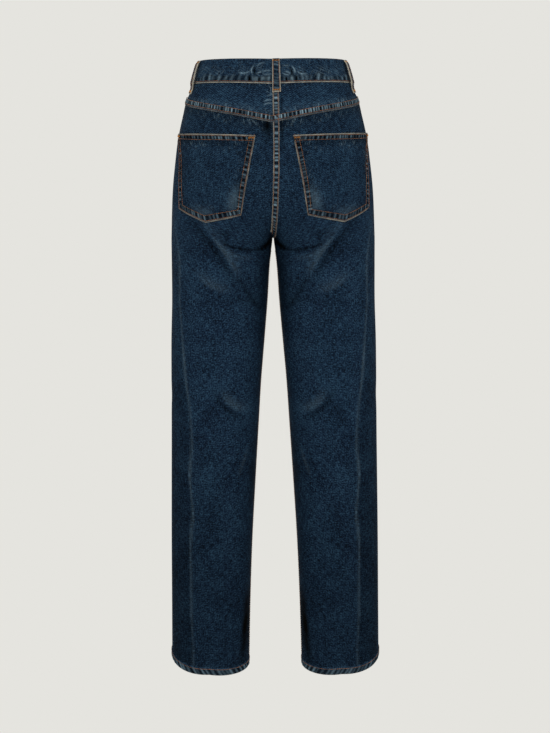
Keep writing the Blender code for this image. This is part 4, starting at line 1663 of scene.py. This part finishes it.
@dataclass
class BeltLoops:
    """Five loops, bowed out for the belt and tacked at both ends."""

    form: JeansForm
    finishes: Finishes
    width: float = 0.0128
    wall: float = 0.0018
    columns: int = 17
    rows: int = 70
    stitch_at: float = 0.0045
    # Drop below the band's own top edge, and lift of the loop's inner face.
    profile: tuple[tuple[float, float], ...] = (
        (0.0005, 0.0018), (0.0035, 0.0019), (0.0070, 0.0044), (0.0160, 0.0050), (0.0280, 0.0054),
        (0.0400, 0.0053), (0.0485, 0.0014), (0.0570, 0.0005),
    )
    front_round: float = 0.22
    side_round: float = 0.575
    # The back loop is sewn a little to the wearer's right of the centre.
    back_round: float = 0.9783

    def place(self, around: float, across: Array, drop: Array, extra: Array | float = 0.0) -> Array:
        """Place points on a loop's outer face.

        Args:
            around: Share round of the loop's middle.
            across: Distance from its middle line.
            drop: Drop below the band's top edge there.
            extra: Height over the outer face.

        Returns:
            Points.
        """
        drops, lifts = np.array(self.profile).T
        fine = np.linspace(drops[0], drops[-1], 160)
        smooth = np.convolve(np.pad(np.interp(fine, drops, lifts), 6, mode="edge"), np.ones(13) / 13, "valid")
        lift = np.interp(drop, fine, smooth) + self.wall + extra
        end = WAIST_TOP.back if around > 0.5 else WAIST_TOP.front
        top = WAIST_TOP.side + (end - WAIST_TOP.side) * abs(around - 0.5) * 2
        row = self.form.row_at(np.full(np.shape(drop), around), drop + top)
        ends = self.form.base(np.array([around - 0.01, around + 0.01]), np.array([0.5, 0.5]))
        per_share = np.linalg.norm(ends[1] - ends[0]) / 0.02
        share, row, lift = np.broadcast_arrays(around + across / per_share, row, lift)
        return self.form.surface(share, row, lift)

    def bartack(self, around: float, drop: float, side: Side) -> Array:
        """Path of a bartack across a loop.

        Args:
            around: Share round of the loop.
            drop: Its drop.
            side: Which side of the garment.

        Returns:
            The thread's path.
        """
        across = np.linspace(-0.44, 0.44, 26) * self.width
        wave = drop + zigzag(26, 0.0011)
        return self.place(around, across, wave, 0.0004) * side.mirror

    def build(self) -> tuple[list[Array], list[Array]]:
        """Build the loops.

        Returns:
            The paths of the stitch rows and of the bartacks.
        """
        places = [("back", self.back_round, Side.RIGHT)]
        places += [(f"side_{side.word}", self.side_round, side) for side in Side]
        places += [(f"front_{side.word}", self.front_round, side) for side in Side]
        across = np.linspace(-0.5, 0.5, self.columns)[None, :] * self.width
        low, high = self.profile[0][0], self.profile[-1][0]
        drop = np.linspace(low, high, self.rows)[:, None]
        stitches, tacks = [], []
        for seed, (word, around, side) in enumerate(places):
            ladder = puckers(drop + 0.2 * across, 0.0064, 70 + seed)
            middle = 1 - step_up(np.abs(across), 0.0030, 0.0048)
            rim = bell(np.abs(across) - 0.5 * self.width, 0.0011)
            extra = 0.0005 * (ladder - 0.5) * middle - 0.0006 * rim + 0.0003 * (1 - middle)
            points = self.place(around, across, drop, extra)
            noise = line_noise(drop, 0.005, 80 + seed)
            end = bell(drop - high, 0.0018)
            groove = bell(np.abs(across) - self.stitch_at, 0.0009)
            look = ClothLook(
                wear=0.45 * ladder * middle, edge=np.maximum((0.55 + 0.45 * noise) * rim, 0.9 * end),
                # Painted shade in the hollows of the puckers and along the stitch grooves.
                shade=0.50 * (1 - ladder) * middle + 0.30 * groove,
            )
            flat = np.stack(np.broadcast_arrays(across, drop), axis=-1)
            name = f"belt_loop_{word}"
            piece = grid_piece(f"denim_{name}", points, flat, look, (self.finishes.denim,), side, self.wall)
            dress(piece, [name])
            for at in (-self.stitch_at, self.stitch_at):
                fine = np.linspace(low + 0.002, high - 0.001, 60)
                stitches.append(self.place(around, np.full(60, at), fine, 0.0004) * side.mirror)
            tacks += [self.bartack(around, drop, side) for drop in (0.0040, 0.0535)]
        return stitches, tacks


@dataclass
class FrontPockets:
    """The scooped pocket mouths and the facings behind them."""

    form: JeansForm
    finishes: Finishes
    legs: Legs
    facing_start: float = 0.235
    facing_end: float = 0.525
    # The facing is caught up behind the waistband, so that no light shows over it.
    facing_top: float = 0.90
    facing_drop: float = 0.150
    depth: float = 0.0028
    wall: float = 0.0012

    def build(self) -> tuple[list[Array], list[Array]]:
        """Build both sides.

        Returns:
            The paths of the stitch rows and of the bartacks.
        """
        low = float(self.form.row_at(np.array([0.5]), np.array([self.facing_drop]))[0])
        rows = np.linspace(self.facing_top, low, 60)[:, None]
        around = np.linspace(self.facing_start, self.facing_end, 70) * np.ones_like(rows)
        rows = rows * np.ones_like(around)
        flat = self.form.flat(around, rows)
        mouth = self.form.row_at(np.array([0.5]), np.array([self.legs.mouth_drop]))[0]
        down = 1 + (mouth - 1) * np.linspace(0, 1, 200) ** 0.8
        edge = self.legs.mouth_edge(down)
        stitches, tacks = [], []
        band = SeamBand(
            self.form, self.finishes, width=0.0112, rows_at=(-0.0032, 0.0032), near_edge=0.2, far_edge=1.0,
            tilt=0.1,
        )
        fine = evenly(self.form.base(edge, down), 0.001, (np.stack([edge, down], axis=1),))[1]
        path = self.form.beside(fine[:, 0], fine[:, 1], np.array([-0.0054]))
        for side, seed in ((Side.LEFT, 91), (Side.RIGHT, 92)):
            # The facing lies back inside the pocket mouth: painted shade.
            look = ClothLook(shade=0.25, wear=0.05)
            points = self.form.surface(around, rows, -self.depth)
            finishes = (self.finishes.denim, self.finishes.reverse)
            name = f"front_pocket_facing_{side.word}"
            piece = grid_piece(f"denim_{name}", points, flat, look, finishes, side, self.wall)
            dress(piece, [name])
            stitches += band.make(f"pocket_mouth_{side.word}", path[0][:, 0], path[1][:, 0], side, seed)[1]
            for share, drop in ((0.478, 0.1235), (0.282, 0.0540)):
                across = np.linspace(-0.004, 0.004, 18)
                shares = share + across / 0.40
                row = self.form.row_at(shares, drop + zigzag(18, 0.0012))
                tacks.append(self.form.surface(shares, row, 0.0016) * side.mirror)
        return stitches, tacks


@dataclass
class Fly:
    """The closed zip fly: shield, tape and teeth behind it, and its curved stitching in front."""

    form: JeansForm
    finishes: Finishes
    length: float = 0.130
    shield_reach: tuple[float, float] = (0.034, 0.020)
    shield_depth: float = 0.0050
    shield_wall: float = 0.0012
    tape_half: float = 0.014
    tape_depth: float = 0.0027
    tape_wall: float = 0.0009
    quarter: float = 0.40
    curve_rows: tuple[float, float] = (0.036, 0.042)

    def strip(self, reach: tuple[float, float], lift: float, columns: int) -> tuple[Array, Array]:
        """Lay a grid across the centre front, from the waistband seam down.

        Args:
            reach: Distance to the wearer's left and right.
            lift: Height over the cloth.
            columns: How many columns.

        Returns:
            Points and flat cloth coordinates.
        """
        turn = np.linspace(-reach[0], reach[1], columns)[::-1]
        low = self.form.row_at(np.array([0.01]), np.array([BAND_SEAM.front + self.length]))[0]
        rows = np.linspace(1.03, low, 60)[:, None]
        points = self.form.surface(np.abs(turn) / self.quarter * np.ones_like(rows), rows, lift)
        points[..., 0] *= np.where(turn > 0, -1, 1)
        return points, np.stack(np.broadcast_arrays(turn, rows * 0.2), axis=-1)

    def curve(self, away: float) -> Array:
        """Path of a curved stitch row of the fly, on the wearer's left.

        Args:
            away: Its distance from the centre front.

        Returns:
            Points.
        """
        low = BAND_SEAM.front + self.length
        turn = np.linspace(0, 0.5 * np.pi, 40)
        straight = np.linspace(BAND_SEAM.front + 0.004, low - 0.030, 60)
        distance = np.append(np.full(60, away), away * np.cos(turn) + 0.001)
        drop = np.append(straight, low - 0.030 + (away + 0.004) * np.sin(turn))
        around = distance / self.quarter
        return self.form.surface(around, self.form.row_at(around, drop), 0.0004)

    def build(self) -> tuple[list[Array], list[Array]]:
        """Build the fly.

        Returns:
            The paths of the stitch rows and of the bartacks.
        """
        points, flat = self.strip(self.shield_reach, -self.shield_depth, 30)
        # The shield lies behind the fly: painted shade.
        shield = grid_piece(
            "denim_fly_shield", points, flat, ClothLook(shade=0.2), (self.finishes.denim,),
            wall=self.shield_wall,
        )
        dress(shield, ["fly_shield"])
        points, flat = self.strip((self.tape_half, self.tape_half), -self.tape_depth, 24)
        tape = grid_piece("zip_tape", points, flat, ClothLook(), (self.finishes.tape,), wall=self.tape_wall)
        dress(tape, ["fly_zip"])
        middle = 0.5 * (points[:, 11] + points[:, 12])
        out = self.form.normal(np.array([0.005]), np.array([1.5]))[0] * (0, 1, 1)
        teeth = Thread(self.finishes.brass, pitch=0.0016, stitch=0.0009, radius=0.0006)
        ways = ((-0.0006, 0.0), (0.0006, 0.0008))
        rows = [middle[2:-2] + (x, 0, -z) + out * 0.0004 for x, z in ways]
        zip_teeth = teeth.sew("zip_teeth", rows)
        edge = SeamBand(
            self.form, self.finishes, width=0.0070, rows_at=(0.0020,), near_edge=1.0, far_edge=0.0,
            base_lift=0.0002, pucker_rise=0.0003,
        )
        path = self.form.path([(0.009, 1.03), (0.009, 2.40)])
        rows = edge.make("fly_edge", *path, Side.LEFT, 95)[1]
        rows += [self.curve(away) for away in self.curve_rows]
        tacks = []
        for around, drop in ((0.010, 0.192), (0.085, 0.163)):
            across = np.linspace(-0.0045, 0.0045, 18)
            shares = np.abs(around + zigzag(18, 0.0013) / self.quarter)
            row = self.form.row_at(shares, drop + across)
            tacks.append(self.form.surface(shares, row, 0.0012))
        return rows, tacks


@dataclass
class WaistButton:
    """The shank button and the keyhole buttonhole that it closes."""

    form: JeansForm
    finishes: Finishes
    drop: float = 0.038
    seat_lift: float = 0.0010
    segments: int = 56
    # Radius and height over the band: shank, underside, rolled rim, hollow and low dome.
    profile: tuple[tuple[float, float], ...] = (
        (0.0001, 0.0002), (0.0030, 0.0002), (0.0030, 0.0012), (0.0078, 0.0013), (0.0084, 0.0017),
        (0.0086, 0.0023), (0.0084, 0.0030), (0.0079, 0.0034), (0.0073, 0.0035), (0.0067, 0.0033),
        (0.0063, 0.0028), (0.0058, 0.0026), (0.0048, 0.0029), (0.0034, 0.0033), (0.0018, 0.0035),
        (0.0001, 0.0036),
    )

    def build(self) -> list[Array]:
        """Build the button.

        Returns:
            The path of the buttonhole's thread.
        """
        row = float(self.form.row_at(np.array([0.01]), np.array([self.drop]))[0])
        centre = self.form.surface(np.array([0.0]), np.array([row]), self.seat_lift)[0]
        out = self.form.normal(np.array([0.0]), np.array([row]))[0] * (0, 1, 1)
        out /= np.linalg.norm(out)
        across = np.array([1.0, 0.0, 0.0])
        down = np.cross(across, out)
        turn = np.linspace(0, 2 * np.pi, self.segments, endpoint=False)
        ring = np.cos(turn)[:, None] * across + np.sin(turn)[:, None] * down
        radii, heights = np.array(self.profile).T
        points = centre + radii[:, None, None] * ring[None] + heights[:, None, None] * out
        flat = np.zeros((*points.shape[:2], 2))
        finishes = (self.finishes.brass,)
        button = grid_piece("button_cap", points[::-1], flat, ClothLook(), finishes, joined=True)
        dress(button, ["waist_button"])
        share = np.linspace(0, 1, 74)
        angle = np.pi * (0.5 + np.clip((share - 0.5) * 6, -0.5, 0.5))
        reach = np.interp(share, (0, 0.42, 0.58, 1), (0, 0.019, 0.019, 0))
        wide = 0.0022 * np.sin(angle + 0.5 * np.pi) * -1
        wide = np.where(share < 0.42, -0.0022, np.where(share > 0.58, 0.0022, wide))
        stagger = zigzag(74, 0.0008)
        spots = (reach + stagger * (share > 0.42) * (share < 0.58))[:, None] * across
        spots = spots + (wide + stagger)[:, None] * down
        return [centre + spots + out * 0.0004]


@dataclass
class Studio:
    """Camera, light and backdrop."""

    camera_distance: float = 3.0
    camera_height: float = -0.240
    pitch_degrees: float = 5.0
    roll_degrees: float = 0.32
    focal_pixels: float = 1720.0
    frame_pixels: tuple[int, int] = (550, 733)
    axis_pixel: float = 272.95
    floor_height: float = -1.60
    floor_radius: float = 9.0
    pale: str = "#e5e4df"

    def camera(self) -> None:
        """Set the camera where the photo was taken: behind the garment, a little above its seat."""
        lens = bpy.data.cameras.new("camera")
        lens.sensor_width = 36.0
        lens.lens = self.focal_pixels / max(self.frame_pixels) * lens.sensor_width
        lens.shift_x = (self.frame_pixels[0] / 2 - self.axis_pixel) / max(self.frame_pixels)
        eye = bpy.data.objects.new("camera", lens)
        eye.location = (0.0, self.camera_distance, self.camera_height)
        angles = (90 - self.pitch_degrees, self.roll_degrees, 180)
        eye.rotation_euler = [math.radians(angle) for angle in angles]
        bpy.context.scene.collection.objects.link(eye)
        bpy.context.scene.camera = eye

    def light(self, name: str, place: tuple[float, float, float], size: float, power: float) -> None:
        """Add a soft square light that faces the garment's middle.

        Args:
            name: Its name.
            place: Where it hangs.
            size: Its side.
            power: Watts.
        """
        lamp = bpy.data.lights.new(name, "AREA")
        lamp.size = size
        lamp.energy = power
        holder = bpy.data.objects.new(name, lamp)
        holder.location = place
        aim = np.array([0.0, 0.0, -0.5]) - np.array(place)
        aim = aim / np.linalg.norm(aim)
        holder.rotation_euler = (math.acos(-aim[2]), 0.0, math.atan2(aim[1], aim[0]) - math.pi / 2)
        bpy.context.scene.collection.objects.link(holder)

    def floor(self) -> None:
        """Lay a back-lit opal acrylic floor: even and pale, with no shadow on it."""
        made, graph = shader_graph("back-lit opal acrylic")
        graph.add("glow", "ShaderNodeEmission", None, {0: linear(self.pale), 1: 1.0})
        graph.add("output", "ShaderNodeOutputMaterial", None, {0: "glow"})
        radii = np.linspace(0.01, self.floor_radius, 8)[:, None]
        turn = np.linspace(0, 2 * np.pi, 64, endpoint=False)
        flat = np.stack([radii * np.cos(turn), radii * np.sin(turn)], axis=-1)
        height = np.full((*flat.shape[:2], 1), self.floor_height)
        points = np.concatenate([flat, height], axis=-1)
        grid_piece("floor", points, flat, ClothLook(), (made,), joined=True)

    def build(self) -> None:
        """Build the studio."""
        scene = bpy.context.scene
        scene.view_settings.view_transform = "Standard"
        world = bpy.data.worlds.new("studio")
        world.use_nodes = True
        sky = world.node_tree.nodes["Background"].inputs
        sky[0].default_value = linear(self.pale)
        sky[1].default_value = 1.0
        scene.world = world
        self.camera()
        self.light("key", (0.8, 3.4, 1.6), 2.0, 40.0)
        self.light("fill", (-1.2, 3.2, 0.2), 2.4, 25.0)
        self.light("front", (0.6, -3.2, 1.2), 2.4, 45.0)
        self.floor()


def main() -> None:
    """Dress the frame, piece by piece."""
    logging.basicConfig(level=logging.INFO, format="%(name)s: %(message)s")
    form = JeansForm()
    finishes = Finishes()
    Studio().build()
    legs = Legs(form, finishes)
    legs.build()
    thread = Thread(finishes.thread)
    tack_thread = Thread(finishes.bartack, radius=0.00042)
    thread.sew("yoke_stitches", Yokes(form, finishes).build())
    thread.sew("centre_seam_stitches", CentreSeams(form, finishes).build())
    thread.sew("hem_stitches", Hems(form, finishes).build())
    sewn, tacked = BackPockets(form, finishes).build()
    thread.sew("back_pocket_stitches", sewn)
    tack_thread.sew("back_pocket_bartacks", tacked, Laying.LAID)
    thread.sew("waistband_stitches", Waistband(form, finishes).build())
    sewn, tacked = BeltLoops(form, finishes).build()
    thread.sew("belt_loop_stitches", sewn)
    tack_thread.sew("belt_loop_bartacks", tacked, Laying.LAID)
    sewn, tacked = FrontPockets(form, finishes, legs).build()
    more_sewn, more_tacked = Fly(form, finishes).build()
    thread.sew("front_stitches", sewn + more_sewn)
    tack_thread.sew("front_bartacks", tacked + more_tacked, Laying.LAID)
    thread.sew("buttonhole_thread", WaistButton(form, finishes).build(), Laying.LAID)


if __name__ == "__main__":
    main()
